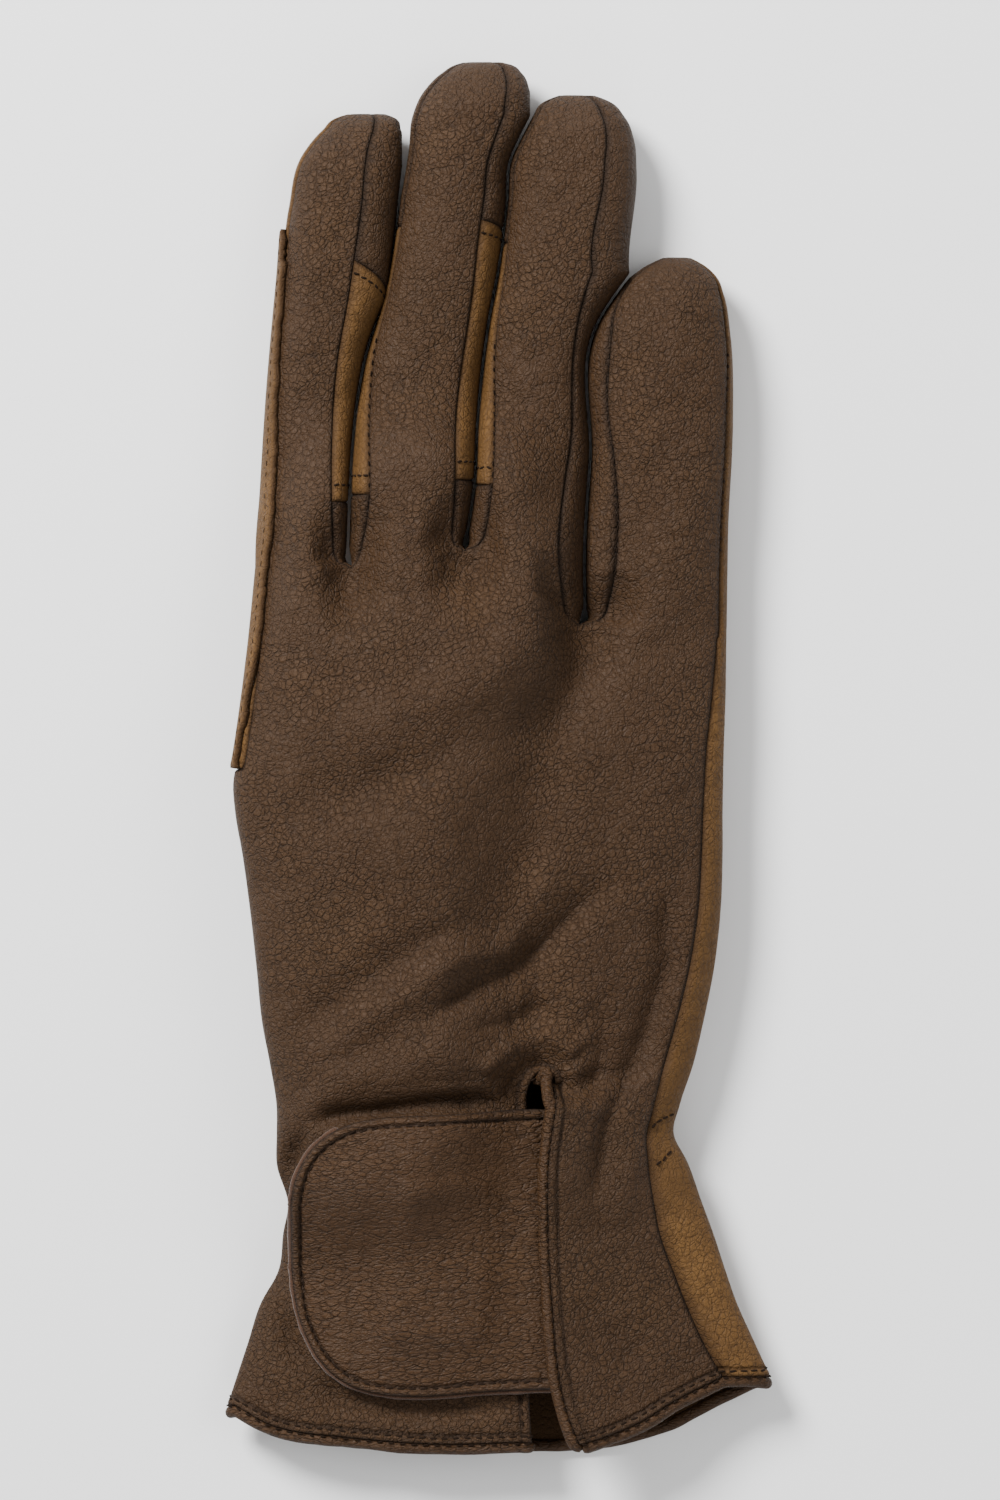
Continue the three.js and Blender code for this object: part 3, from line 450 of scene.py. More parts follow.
PARTINGS = [
    table(["up", "across"], [
        [0.00, -0.3125],
        [0.13, -0.307],
        [0.23, -0.302],
        [0.33, -0.292],
        [0.40, -0.279],
        [0.54, -0.2375],
        [0.66, -0.2146],
        [0.79, -0.196],
    ]),
    table(["up", "across"], [
        [0.03, -0.069],
        [0.17, -0.047],
        [0.28, -0.042],
        [0.48, -0.019],
        [0.59, 0.002],
        [0.72, 0.019],
        [0.81, 0.029],
        [0.84, 0.044],
        [0.89, 0.071],
    ]),
    table(["up", "across"], [
        [-0.11, 0.183],
        [0.03, 0.181],
        [0.21, 0.193],
        [0.50, 0.219],
        [0.53, 0.240],
        [0.57, 0.271],
        [0.61, 0.306],
    ]),
]

FINGER_COLUMNS = ["along", "left", "right", "left_seam", "right_seam"]
FINGERS = [
    dict(name="index", length=INDEX_LENGTH, outline=table(FINGER_COLUMNS, [
        [0.00, -0.492, -0.190, -0.84, 0.74],
        [0.14, -0.485, -0.190, -0.84, 0.64],
        [0.38, -0.471, -0.190, -0.88, 0.50],
        [0.63, -0.450, -0.190, -0.93, 0.37],
        [0.79, -0.435, -0.190, -0.94, 0.37],
        [0.91, -0.404, -0.193, -0.92, 0.31],
        [0.96, -0.365, -0.201, -0.90, 0.30],
        [0.99, -0.330, -0.219, -0.90, 0.30],
        [1.00, -0.298, -0.246, -0.90, 0.30],
    ])),
    dict(name="middle", length=MIDDLE_LENGTH, outline=table(FINGER_COLUMNS, [
        [0.00, -0.330, 0.090, -0.85, 0.84],
        [0.08, -0.330, 0.090, -0.73, 0.77],
        [0.30, -0.330, 0.090, -0.80, 0.68],
        [0.48, -0.330, 0.090, -0.93, 0.68],
        [0.62, -0.240, 0.090, -0.94, 0.60],
        [0.82, -0.185, 0.090, -0.92, 0.61],
        [0.89, -0.177, 0.071, -0.92, 0.57],
        [0.94, -0.152, 0.067, -0.90, 0.57],
        [0.975, -0.115, 0.050, -0.88, 0.57],
        [0.992, -0.085, 0.026, -0.88, 0.57],
        [1.00, -0.055, -0.010, -0.88, 0.57],
    ])),
    dict(name="ring", length=RING_LENGTH, outline=table(FINGER_COLUMNS, [
        [-0.12, -0.090, 0.300, -0.85, 0.70],
        [0.06, -0.090, 0.300, -0.72, 0.58],
        [0.20, -0.090, 0.300, -0.72, 0.62],
        [0.32, -0.070, 0.300, -0.73, 0.73],
        [0.48, -0.040, 0.300, -0.86, 0.73],
        [0.62, -0.020, 0.275, -0.94, 0.44],
        [0.84, 0.010, 0.290, -0.94, 0.50],
        [0.90, 0.046, 0.285, -0.92, 0.52],
        [0.95, 0.073, 0.265, -0.92, 0.52],
        [0.985, 0.102, 0.229, -0.90, 0.52],
        [1.00, 0.140, 0.190, -0.90, 0.52],
    ])),
    dict(name="little", length=LITTLE_LENGTH, outline=table(FINGER_COLUMNS, [
        [-0.23, 0.170, 0.477, -0.85, 0.90],
        [-0.06, 0.170, 0.479, -0.62, 0.89],
        [0.12, 0.170, 0.481, -0.57, 0.90],
        [0.47, 0.170, 0.491, -0.76, 0.91],
        [0.74, 0.190, 0.486, -0.75, 0.94],
        [0.88, 0.240, 0.471, -0.92, 0.94],
        [0.93, 0.276, 0.458, -0.92, 0.94],
        [0.97, 0.3125, 0.431, -0.90, 0.92],
        [1.00, 0.353, 0.396, -0.90, 0.90],
    ])),
]

# %% [markdown]
# ## Sections of flattened leather
#
# Cut across, an empty glove is a flat tube: an oval that the table flattens from below. The thumb lies
# under the palm and carries the whole thumb side a few millimetres up, so `lift` raises every section
# by how near it is to the thumb.

# %% Thumb line and lift
SECTION_POWER = 2.5
FLATTENING = 1.18
THUMB_LINE = [(-0.310, 0.424), (-0.345, 0.592), (-0.325, 0.752), (-0.245, 0.880), (-0.150, 0.984)]
THUMB_OUTLINE = table(["along", "half", "height"], [
    [0.00, 0.40, 0.00],
    [0.015, 0.58, 0.55],
    [0.05, 0.76, 0.85],
    [0.12, 0.93, 1.00],
    [0.30, 1.00, 1.00],
    [0.75, 0.94, 1.00],
    [0.90, 0.80, 1.00],
    [0.96, 0.62, 0.85],
    [0.985, 0.46, 0.60],
    [1.00, 0.28, 0.00],
])
TIP_ROUNDING = table(["from_tip", "half"], [
    [0.00, 0.00],
    [0.47, 0.58],
    [0.71, 0.82],
    [1.00, 0.95],
    [1.41, 1.00],
])


def drawn_length(path):
    return np.hypot(*np.diff(path, axis=0).T).sum()


thumb_points = np.array([(x * HAND_WIDTH, HEM + up * BODY_LENGTH) for x, up in THUMB_LINE])
thumb_points = thumb_points[0] + (thumb_points - thumb_points[0]) * THUMB_LENGTH / drawn_length(thumb_points)


def distance_to_path(x, y, path):
    """Distance in plan from each place to a path of straight pieces, and how far along it lies."""
    best = np.full(np.shape(x), np.inf)
    along = np.zeros(np.shape(x))
    side = np.zeros(np.shape(x))
    walked = 0.0
    for a, b in zip(path[:-1], path[1:]):
        run = b - a
        length = math.hypot(*run)
        share = np.clip(((x - a[0]) * run[0] + (y - a[1]) * run[1]) / length ** 2, 0, 1)
        dx = x - (a[0] + share * run[0])
        dy = y - (a[1] + share * run[1])
        gap = np.hypot(dx, dy)
        nearer = gap < best
        best = np.where(nearer, gap, best)
        along = np.where(nearer, walked + share * length, along)
        side = np.where(nearer, np.sign(run[0] * dy - run[1] * dx), side)
        walked += length
    return best, along / walked, side


def lift(x, y):
    gap, _, _ = distance_to_path(x, y, thumb_points)
    edge = THUMB_WIDTH / 2 + LIFT_MARGIN
    return (THUMB_HEIGHT + SEAM_GAP) * (1 - smooth(edge, edge + LIFT_SLOPE, gap))


# %% Sections
def arch(across):
    return (1 - np.minimum(1, np.abs(across)) ** SECTION_POWER) ** (1 / SECTION_POWER)


def round_point(angle):
    c, s = np.cos(angle), np.sin(angle)
    size = (np.abs(c) ** SECTION_POWER + np.abs(s) ** SECTION_POWER) ** (1 / SECTION_POWER)
    return c / size, s / size


class Section:
    """Cross-sections at the heights y: points on the upper side, the lower side and the two ends."""

    def __init__(self, y, left, right, half, middle):
        self.y = y
        self.centre = (left + right) / 2
        self.reach = (right - left) / 2
        self.half = half
        self.middle = middle

    def share(self, x):
        return np.clip((x - self.centre) / self.reach, -0.999, 0.999)

    def point(self, across, over):
        x = self.centre + self.reach * across
        z = lift(x, self.y) + self.middle + self.half * over
        return np.stack([x, np.broadcast_to(self.y, x.shape), z], axis=-1)

    def upper(self, across):
        return self.point(across, arch(across))

    def lower(self, across):
        return self.point(across, -np.minimum(1, FLATTENING * arch(across)))

    def side(self, upper, lower, facets):
        """Points round one end, from the upper seam to the lower one, both left out."""
        start = np.arctan2(arch(upper), upper)
        end = np.arctan2(-arch(lower), lower)
        sweep = np.where(upper > 0, end - start, end + 2 * np.pi - start)
        points = [self.point(*round_point(start + sweep * (i / facets))) for i in range(1, facets)]
        return np.stack(points, axis=-2)


def body_section(y):
    up = (y - HEM) / BODY_LENGTH
    half = curve(BODY_HEIGHT, up, "height") / 2
    section = Section(y, curve(BODY, up, "left"), curve(BODY, up, "right"), half, half)
    section.seam = curve(BODY, up, "seam")
    return section


def finger_section(k, y):
    finger = FINGERS[k]
    outline = finger["outline"]
    along = (y - KNUCKLE_LINE) / finger["length"]
    up = (y - KNUCKLE_LINE) / MIDDLE_LENGTH
    left = curve(outline, along, "left") * HAND_WIDTH
    right = curve(outline, along, "right") * HAND_WIDTH
    if k > 0:
        left = np.maximum(left, curve(PARTINGS[k - 1], up, "across") * HAND_WIDTH + FINGER_GAP / 2)
    if k < len(FINGERS) - 1:
        right = np.minimum(right, curve(PARTINGS[k], up, "across") * HAND_WIDTH - FINGER_GAP / 2)
    from_tip = np.maximum(0, KNUCKLE_LINE + finger["length"] - y) / FINGER_HEIGHT
    half = curve(TIP_ROUNDING, np.sqrt(from_tip), "half")
    section = Section(y, left, right, half * FINGER_HEIGHT / 2, mix(0.75, 1, half) * FINGER_HEIGHT / 2)
    section.left_seam = curve(outline, along, "left_seam")
    section.right_seam = curve(outline, along, "right_seam")
    return section


print("hand", round(HAND_WIDTH / MM), "mm wide, thumb line of", len(thumb_points), "points")

# %% [markdown]
# ## One skin, many panels
#
# Neighbouring panels share their seam, so all of them are faces of one skin, and each face knows whose
# it is. The skin is a fine grid: rows run across the glove, and columns run from the cuff to the
# fingertips. Later each panel is cut out of it, thickened and rounded at its edges.

# %% Skin
def nearest(points, edge_points):
    tree = KDTree(len(edge_points))
    for i, point in enumerate(edge_points):
        tree.insert(point, i)
    tree.balance()
    return np.array([tree.find(point)[2] for point in points])


def row_at(shares, share):
    """Number of the row whose share is nearest to the one asked for."""
    return int(np.argmin(np.abs(shares - share)))


def band_quads(low, high):
    corners = [low[..., :-1], low[..., 1:], high[..., 1:], high[..., :-1]]
    return np.stack(corners, axis=-1).reshape(-1, 4)


def grid_quads(ids):
    return band_quads(ids[:-1], ids[1:])


class Skin:
    def __init__(self):
        self.parts = []
        self.count = 0
        self.panels = {}
        self.dark = None

    def add(self, points):
        flat = points.reshape(-1, 3)
        ids = np.arange(self.count, self.count + len(flat)).reshape(points.shape[:-1])
        self.parts.append(flat)
        self.count += len(flat)
        return ids

    def band(self, panel, low, high):
        """Faces between two sets of rows: the arrays hold rows of points that run the same way."""
        self.panels.setdefault(panel, []).append(band_quads(low, high))

    def grid(self, panel, ids):
        self.band(panel, ids[:-1], ids[1:])

    def finish(self):
        self.points = np.vstack(self.parts)
        self.faces = {name: np.vstack(quads) for name, quads in self.panels.items()}
        self.update_normals()

    def update_normals(self):
        quads = np.vstack(list(self.faces.values()))
        a, b, c, d = (self.points[quads[:, i]] for i in range(4))
        normals = np.cross(c - a, d - b)
        sums = np.zeros_like(self.points)
        for i in range(4):
            np.add.at(sums, quads[:, i], normals)
        self.normals = sums / np.maximum(np.linalg.norm(sums, axis=1, keepdims=True), 1e-12)


# %% Lattice of the body
# How fine the grid is, and at which of its rows and columns things begin and end
COLUMNS_PER_FINGER = 30
BODY_ROWS = 190
FINGER_ROWS = 120
WALL_FACETS = 12
COLUMNS = COLUMNS_PER_FINGER * len(FINGERS)
SLIT_COLUMN = int(COLUMNS_PER_FINGER * 2.5)
SLIT_TOP, SLIT_CLOSED = 0.40, 0.432
HEM_ZONE = 0.036
STRIP_START, STRIP_END = 0.76, 0.74
HOLE_ROWS, HOLE_SHARE = (0.45, 0.69), 0.25


def spread(count):
    """Shares from 0 to 1 that lie closer together near both ends, where a panel rounds over."""
    t = np.linspace(0, 1, count + 1)
    return mix(t, (1 - np.cos(np.pi * t)) / 2, 0.55)


part = spread(COLUMNS_PER_FINGER)
crotch_x, crotch_up = CROTCHES["across"], CROTCHES["up"]


def over_fingers(ends):
    """Values for every column, from one value at each end of each finger's base."""
    pieces = [mix(ends[k], ends[k + 1], part[:-1]) for k in range(len(FINGERS))]
    return np.concatenate(pieces + [ends[-1:]])


base_x, base_up = over_fingers(crotch_x), over_fingers(crotch_up)
base_share = (base_x - base_x[0]) / (base_x[-1] - base_x[0])
base_y = KNUCKLE_LINE + HAND_WIDTH * base_up
even_share = np.linspace(0, 1, COLUMNS + 1)
hem_y = CUT_EDGE + BODY_LENGTH * curve(HEM_LINE, mix(-0.5, 0.5, even_share), "up")
parting_gap = np.concatenate([np.minimum(part[:-1], 1 - part[:-1])] * len(FINGERS) + [[0.0]])
parting_gap[0] = 1
parting_gap[-1] = 1
parting_gap[1:COLUMNS_PER_FINGER // 2] = 1
parting_gap[-COLUMNS_PER_FINGER // 2:] = 1


def parting_dip(row):
    """How far the leather dips towards the partings between the fingers, from 0 to 1."""
    return (1 - smooth(0, 0.42, parting_gap)) * smooth(0.90, 1, row)


# %% [markdown]
# The slit parts the back into a left and a right flap. So every row across the back is drawn twice, once
# with the slit's column on the left flap's edge and once on the right one's. Above the slit they meet.

# %% Rows across the back and the palm
CROWDING = 1.4
EDGE_INSET = 0.015
SLIT_FADES = 0.45
# How far the upper and the lower side move towards each other between the fingers, in heights of the hand
UPPER_DIP, LOWER_DIP = 0.30, 0.08
# The right flap climbs over the strap's top edge: how far, and between which heights down the wrist
STRAP_RISE = 1.9 * MM
OVER_STRAP = [-photo_y(row) for row in (1084, 1112, 1165, 1240)]


def back_row(row, side):
    """Points across the back at one row, with the slit's column on the side asked for."""
    y = mix(hem_y, base_y, row)
    section = body_section(y)
    left = section.centre - section.reach + HAND_WIDTH * EDGE_INSET
    right = section.centre + section.reach - section.seam
    edge = curve(SLIT, row, side) * WRIST_WIDTH
    closing = np.clip((row - SLIT_TOP) / (SLIT_CLOSED - SLIT_TOP), 0, 1)
    end = mix(edge, SLIT_END * WRIST_WIDTH, 1 - np.sqrt(1 - closing ** 2))
    first = 1 - np.linspace(1, 0, SLIT_COLUMN + 1) ** CROWDING
    second = np.linspace(0, 1, COLUMNS - SLIT_COLUMN + 1) ** CROWDING
    wrist = np.concatenate([mix(left[:SLIT_COLUMN + 1], end, first),
                            mix(end, right[SLIT_COLUMN:], second)[1:]])
    x = mix(wrist, mix(left, right, base_share), smooth(SLIT_FADES, 1, row))
    points = section.upper(section.share(x))
    opened = 1 - smooth(SLIT_TOP, SLIT_CLOSED, row)
    near = 1 - smooth(0, FLAP_BLEND, np.abs(x - edge))
    step = np.where(side == "right", FLAP_RAISE, -FLAP_SINK)
    if side == "right":
        down = -points[:, 1]
        step = step + STRAP_RISE * smooth(*OVER_STRAP[:2], down) * (1 - smooth(*OVER_STRAP[2:], down))
    points[:, 2] += opened * near * step - HAND_HEIGHT * UPPER_DIP * parting_dip(row)
    return points


def palm_row(row):
    y = mix(hem_y, base_y, row)
    section = body_section(y)
    share = mix(even_share, base_share, smooth(SLIT_FADES, 1, row))
    points = section.lower(mix(-0.95, 0.95, share))
    points[:, 2] += HAND_HEIGHT * LOWER_DIP * parting_dip(row)
    return points


# %% Fill the grid of the hand
hand = Skin()
# Rows lie closer together where the slit ends and near the knuckles
heights_up = np.linspace(0, 1, 2001)
crowding = (1 + 1.1 * smooth(0.30, 0.38, heights_up) * smooth(0.36, 0.46, 1 - heights_up)
            + 0.8 * smooth(0.9, 1, heights_up))
reached = np.cumsum(crowding) / crowding.sum()
rows = np.interp(np.linspace(0, 1, BODY_ROWS + 1), reached, heights_up)
rows[[0, -1]] = 0, 1
hem_rows, slit_rows = np.linspace(0, HEM_ZONE, 22), np.linspace(SLIT_TOP, SLIT_CLOSED, 12)
rows = np.unique(np.concatenate([rows, hem_rows, slit_rows, [*HOLE_ROWS, STRIP_START]]))
left_side = np.stack([back_row(row, "left") for row in rows])
right_side = np.stack([back_row(row, "right") for row in rows])
back_points = left_side.copy()
back_points[:, SLIT_COLUMN + 1:] = right_side[:, SLIT_COLUMN + 1:]
palm_points = np.stack([palm_row(row) for row in rows])
back = hand.add(back_points)
palm = hand.add(palm_points)
slit_right = hand.add(right_side[:, SLIT_COLUMN])
closed_rows = rows >= SLIT_CLOSED - 1e-9
slit_right[closed_rows] = back[closed_rows, SLIT_COLUMN]


def body_side(column):
    """Rows of points round one side of the hand, from its back to its palm."""
    section = body_section(mix(hem_y[column], base_y[column], rows))
    top = section.share(back_points[:, column, 0])
    low = section.share(palm_points[:, column, 0])
    inner = hand.add(section.side(top, low, WALL_FACETS))
    return np.concatenate([back[:, column:column + 1], inner, palm[:, column:column + 1]], axis=1)


left_wall = body_side(0)
right_wall = body_side(COLUMNS)
left_back = back[:, :SLIT_COLUMN + 1]
right_back = np.concatenate([slit_right[:, None], back[:, SLIT_COLUMN + 1:]], axis=1)
hand.grid("back", left_back)
hand.grid("back", right_back)
hand.grid("palm", right_wall)
strip_row = row_at(rows, STRIP_START)
hand.band("back", left_wall[1:strip_row + 1], left_wall[:strip_row])
hand.band("palm", left_wall[strip_row + 1:], left_wall[strip_row:-1])
hole_low, hole_high = (row_at(rows, share) for share in HOLE_ROWS)
hole_column = int(COLUMNS * HOLE_SHARE)
# Between the two hole rows the palm starts at the hole's column, so the hand opens into the thumb
for low, high, first in ((0, hole_low, 0), (hole_low, hole_high, hole_column),
                         (hole_high, len(rows) - 1, 0)):
    hand.band("palm", palm[low + 1:high + 1, first:], palm[low:high, first:])
print("body rows:", len(rows), "columns:", COLUMNS)

# %% Lattice of the fingers
CROTCH_SHARE, TIP_SHARE = 0.14, 0.67
GUSSETS = [
    dict(right="index", left="middle", crotch="index_middle_crotch_gusset"),
    dict(right="middle", left="ring", crotch="middle_ring_crotch_gusset"),
    dict(whole="ring_little_gusset"),
]
finger_t = np.linspace(0, 1, FINGER_ROWS + 1)
finger_shares = np.unique(np.concatenate([mix(finger_t, np.sin(finger_t * np.pi / 2), 0.45),
                                          [CROTCH_SHARE, TIP_SHARE, STRIP_END]]))


def crotch_line(k):
    """Points down the left of finger k at the hand's last row, or down the right of the last finger."""
    if k == 0:
        return left_wall[-1]
    if k == len(FINGERS):
        return right_wall[-1]
    top, low = back[-1, k * COLUMNS_PER_FINGER], palm[-1, k * COLUMNS_PER_FINGER]
    a, b = back_points[-1, k * COLUMNS_PER_FINGER], palm_points[-1, k * COLUMNS_PER_FINGER]
    t = np.arange(1, WALL_FACETS)[:, None] / WALL_FACETS
    inner = hand.add(mix(a, b, t))
    return np.concatenate([[top], inner, [low]])


crotches = [crotch_line(k) for k in range(len(FINGERS) + 1)]


def wall_pieces(k, side):
    """Names of the strip pieces on one side of a finger, each with the rows it starts and ends at."""
    gap = k if side == "right" else k - 1
    if gap < 0 or gap >= len(GUSSETS):
        return [("palm", 0, 1)]
    pieces = GUSSETS[gap]
    if "whole" in pieces:
        return [(pieces["whole"], 0, 1)]
    name = f"{pieces[side]}_{side}"
    return [(pieces["crotch"], 0, CROTCH_SHARE), (name + "_gusset", CROTCH_SHARE, TIP_SHARE),
            (name + "_tip_gusset", TIP_SHARE, 1)]


# %% [markdown]
# A finger grows out of the hand's last row. Over about the first sixth of its length its section is a
# mixture of the hand's and its own, so that no step shows at the knuckles.

# %% Sides of a finger
OPENING_SHARE, MERGING_SHARE = 0.035, 0.16
# How far the join of tan and brown leather drops from the seam to the middle of a finger's side
JOIN_SLANT = {("index", "right"): 5 * MM, ("middle", "right"): 1.5 * MM}
JOIN_REACH = 0.09
LOW_SEAM = 0.84


def merge_into_hand(k, y, shares, own):
    """A finger's upper and lower points, which grow out of the hand's last row without a step."""
    section, hand_section = finger_section(k, y), body_section(y)
    opened = np.sqrt(1 - (1 - np.minimum(1, shares / OPENING_SHARE)) ** 2)
    merged = smooth(0, MERGING_SHARE, shares)
    dip = parting_dip(1)[own]
    made = []
    upper_x = section.upper(mix(section.left_seam, section.right_seam, part))[..., 0]
    lower_x = section.lower(mix(-LOW_SEAM, LOW_SEAM, part) * np.ones_like(y))[..., 0]
    for side, finger_x, last, move in (("upper", upper_x, back_points[-1, own], -UPPER_DIP),
                                       ("lower", lower_x, palm_points[-1, own], LOWER_DIP)):
        x = mix(last[:, 0], finger_x, opened)
        from_hand = getattr(hand_section, side)(hand_section.share(x))[..., 2] + HAND_HEIGHT * move * dip
        from_finger = getattr(section, side)(section.share(x))[..., 2]
        made.append(np.stack([x, y, mix(from_hand, from_finger, merged)], axis=-1))
    return made


def side_wall(k, side, y, shares, top, low):
    """Points down one side of a finger between its two seams."""
    bottom = -LOW_SEAM if side == "left" else LOW_SEAM
    section = finger_section(k, y)
    seam = section.left_seam if side == "left" else section.right_seam
    wall = section.side(seam, np.full_like(seam, bottom), WALL_FACETS)
    outer = side == "left" and k == 0 or side == "right" and k == len(FINGERS) - 1
    down = (np.arange(1, WALL_FACETS) / WALL_FACETS)[None, :, None]
    if outer:
        beside = body_section(y)
        start = beside.side(beside.share(top[:, 0]), beside.share(low[:, 0]), WALL_FACETS)
    else:
        start = mix(top[:, None], low[:, None], down)
    first, last = section.upper(seam), section.lower(np.full_like(seam, bottom))
    wall = wall + mix((top - first)[:, None], (low - last)[:, None], down)
    slant = JOIN_SLANT.get((FINGERS[k]["name"], side), 0.0)
    near_join = np.exp(-((shares - TIP_SHARE) / JOIN_REACH) ** 2)[:, None]
    wall[..., 1] -= slant * near_join * np.minimum(1, 2 * down[..., 0])
    merging = np.sqrt(np.minimum(1, shares / OPENING_SHARE))
    if outer:
        merging = smooth(0, MERGING_SHARE, shares)
    return mix(start, wall, merging[:, None, None])


def add_finger(k):
    own = slice(k * COLUMNS_PER_FINGER, (k + 1) * COLUMNS_PER_FINGER + 1)
    tip = KNUCKLE_LINE + FINGERS[k]["length"]
    shares = finger_shares[1:]
    y = mix(base_y[own], tip, shares[:, None])
    top_points, low_points = merge_into_hand(k, y, shares[:, None], own)
    top = np.concatenate([back[-1:, own], hand.add(top_points)])
    low = np.concatenate([palm[-1:, own], hand.add(low_points)])
    low[-1] = top[-1]
    walls = {}
    for side, column, crotch in (("left", 0, crotches[k]), ("right", -1, crotches[k + 1])):
        wall_points = side_wall(k, side, y[:, column], shares, top_points[:, column], low_points[:, column])
        inner = hand.add(wall_points)
        wall = np.concatenate([top[1:, column][:, None], inner, low[1:, column][:, None]], axis=1)
        wall[-1] = top[-1, column]
        walls[side] = np.concatenate([crotch[None, :], wall])
    hand.grid("back", top)
    hand.band("palm", low[1:], low[:-1])
    for side, wall in walls.items():
        for panel, first, last in wall_pieces(k, side):
            a, b = row_at(finger_shares, first), row_at(finger_shares, last)
            if side == "right":
                hand.band(panel, wall[a:b], wall[a + 1:b + 1])
            else:
                hand.band(panel, wall[a + 1:b + 1], wall[a:b])
    return dict(top=top, low=low, **walls)


fingers = [add_finger(k) for k in range(len(FINGERS))]
hand.finish()
print("skin:", len(hand.points), "points,", sum(len(q) for q in hand.faces.values()), "faces")

# %% [markdown]
# ## Folds and dents
#
# An empty glove keeps the shape of the hand that wore it: soft hollows run across the back, sharp
# folds gather at the wrist, and the leather bulges round the strap. Each fold is a path seen in the
# photograph with a half width and a depth, and the skin sinks by it. A negative depth is a ridge.

# %% Folds
# Path in the photograph's pixels, half width and depth in millimetres, and how sharp the fold is
FOLDS = [
    ([(290, 795), (343, 793), (426, 770), (482, 730), (550, 720), (614, 650)], 4.6, 1.25, 2.0),
    ([(313, 733), (380, 733), (463, 684), (531, 643)], 4.4, -0.75, 2.0),
    ([(300, 860), (380, 850), (471, 830), (560, 800)], 5.0, -0.5, 2.0),
    ([(460, 842), (482, 836)], 2.6, 0.55, 2.0),
    ([(296, 1026), (340, 1000), (380, 966), (463, 917)], 3.0, 1.3, 1.6),
    ([(313, 1057), (380, 1011), (463, 955), (508, 944), (550, 876), (576, 823)], 2.7, -1.0, 1.8),
    ([(422, 1021), (471, 989), (520, 966), (576, 910), (610, 880)], 2.1, 2.2, 1.3),
    ([(471, 1029), (510, 1020), (550, 1000)], 1.7, 1.0, 1.4),
    ([(480, 1080), (496, 1058), (518, 1042), (545, 1034), (572, 1050), (580, 1095)], 1.8, -1.3, 1.8),
    ([(505, 1098), (512, 1078), (528, 1062), (548, 1062)], 1.3, 1.1, 1.6),
    ([(603, 1000), (600, 1060), (584, 1120)], 1.9, 1.1, 1.4),
    ([(663, 872), (667, 959), (644, 1034), (621, 1087), (606, 1124), (592, 1214)], 2.7, 2.1, 1.4),
    ([(640, 1130), (630, 1170), (618, 1230)], 2.6, -0.75, 2.0),
    ([(690, 900), (688, 980), (668, 1050)], 2.2, -0.5, 2.0),
    ([(580, 1290), (612, 1340), (640, 1370)], 5.0, 0.9, 2.0),
    ([(286, 1188), (298, 1150), (334, 1116), (420, 1103), (508, 1098)], 2.1, 3.0, 1.6),
    ([(290, 1130), (340, 1078), (430, 1056), (480, 1040)], 3.0, -0.9, 2.0),
    ([(284, 1190), (300, 1215), (322, 1240)], 3.0, 0.7, 2.0),
    ([(278, 1290), (292, 1345), (335, 1398), (410, 1410), (510, 1406)], 1.7, 1.5, 1.8),
    ([(292, 590), (350, 592), (430, 596)], 2.4, 0.5, 1.8),
    ([(450, 590), (500, 560), (566, 470)], 3.6, 0.75, 2.0),
    ([(610, 660), (640, 655), (700, 640)], 3.4, 0.4, 2.0),
    ([(425, 370), (453, 331)], 1.8, 0.35, 1.6),
    ([(540, 220), (566, 200), (590, 160)], 1.5, 0.25, 1.6),
    ([(520, 330), (550, 310), (585, 300)], 1.8, 0.22, 1.8),
    ([(305, 210), (330, 205), (352, 212)], 1.4, 0.25, 1.6),
    ([(296, 320), (320, 312), (345, 318)], 1.6, 0.22, 1.8),
    ([(636, 420), (670, 408), (712, 416)], 1.8, 0.25, 1.8),
    ([(640, 330), (670, 318), (705, 326)], 1.5, 0.20, 1.8),
]


def fold_depth(x, y):
    """How deep the folds are under each place in plan. They fade to a quarter at their ends."""
    depth = np.zeros_like(x)
    for path, half, deep, power in FOLDS:
        gap, along, _ = distance_to_path(x, y, places(path))
        ends = smooth(0, 0.18, along) * smooth(0, 0.18, 1 - along) * 0.75 + 0.25
        depth += deep * MM * ends * np.exp(-(gap / (half * MM)) ** power)
    return depth


# Where fine creases fan out from: place, first and last angle, how many, where they start and how long
# they get, all in the photograph's pixels and degrees, then the depth of the deepest in millimetres
GATHERS = [
    ((534, 1092), (25, 185), 14, (24, 40), (40, 130), 0.50),
    ((348, 566), (-150, -30), 9, (8, 14), (18, 60), 0.36),
    ((465, 549), (-150, -30), 9, (8, 14), (18, 60), 0.36),
    ((590, 624), (-140, -40), 7, (8, 14), (16, 50), 0.30),
]


def gathers(x, y):
    """Fine creases that fan out from the slit's end and from the crotches, where the leather is drawn in."""
    rng = np.random.default_rng(12)
    depth = np.zeros_like(x)
    for centre, turns, count, starts, lengths, deepest in GATHERS:
        for turn in np.linspace(*turns, count):
            angle = math.radians(turn + rng.uniform(-6, 6))
            start, length = rng.uniform(*starts), rng.uniform(*lengths)
            bend = rng.uniform(-0.35, 0.35)
            reach = np.linspace(start, start + length, 4)
            angles = angle + bend * reach / 150
            path = list(zip(centre[0] + reach * np.cos(angles), centre[1] - reach * np.sin(angles)))
            gap, along, _ = distance_to_path(x, y, places(path))
            ends = smooth(0, 0.3, along) * smooth(0, 0.6, 1 - along)
            depth += rng.uniform(0.5, 1.0) * deepest * MM * ends * np.exp(-(gap / (0.8 * MM)) ** 1.5)
    return depth


WAVES = 14


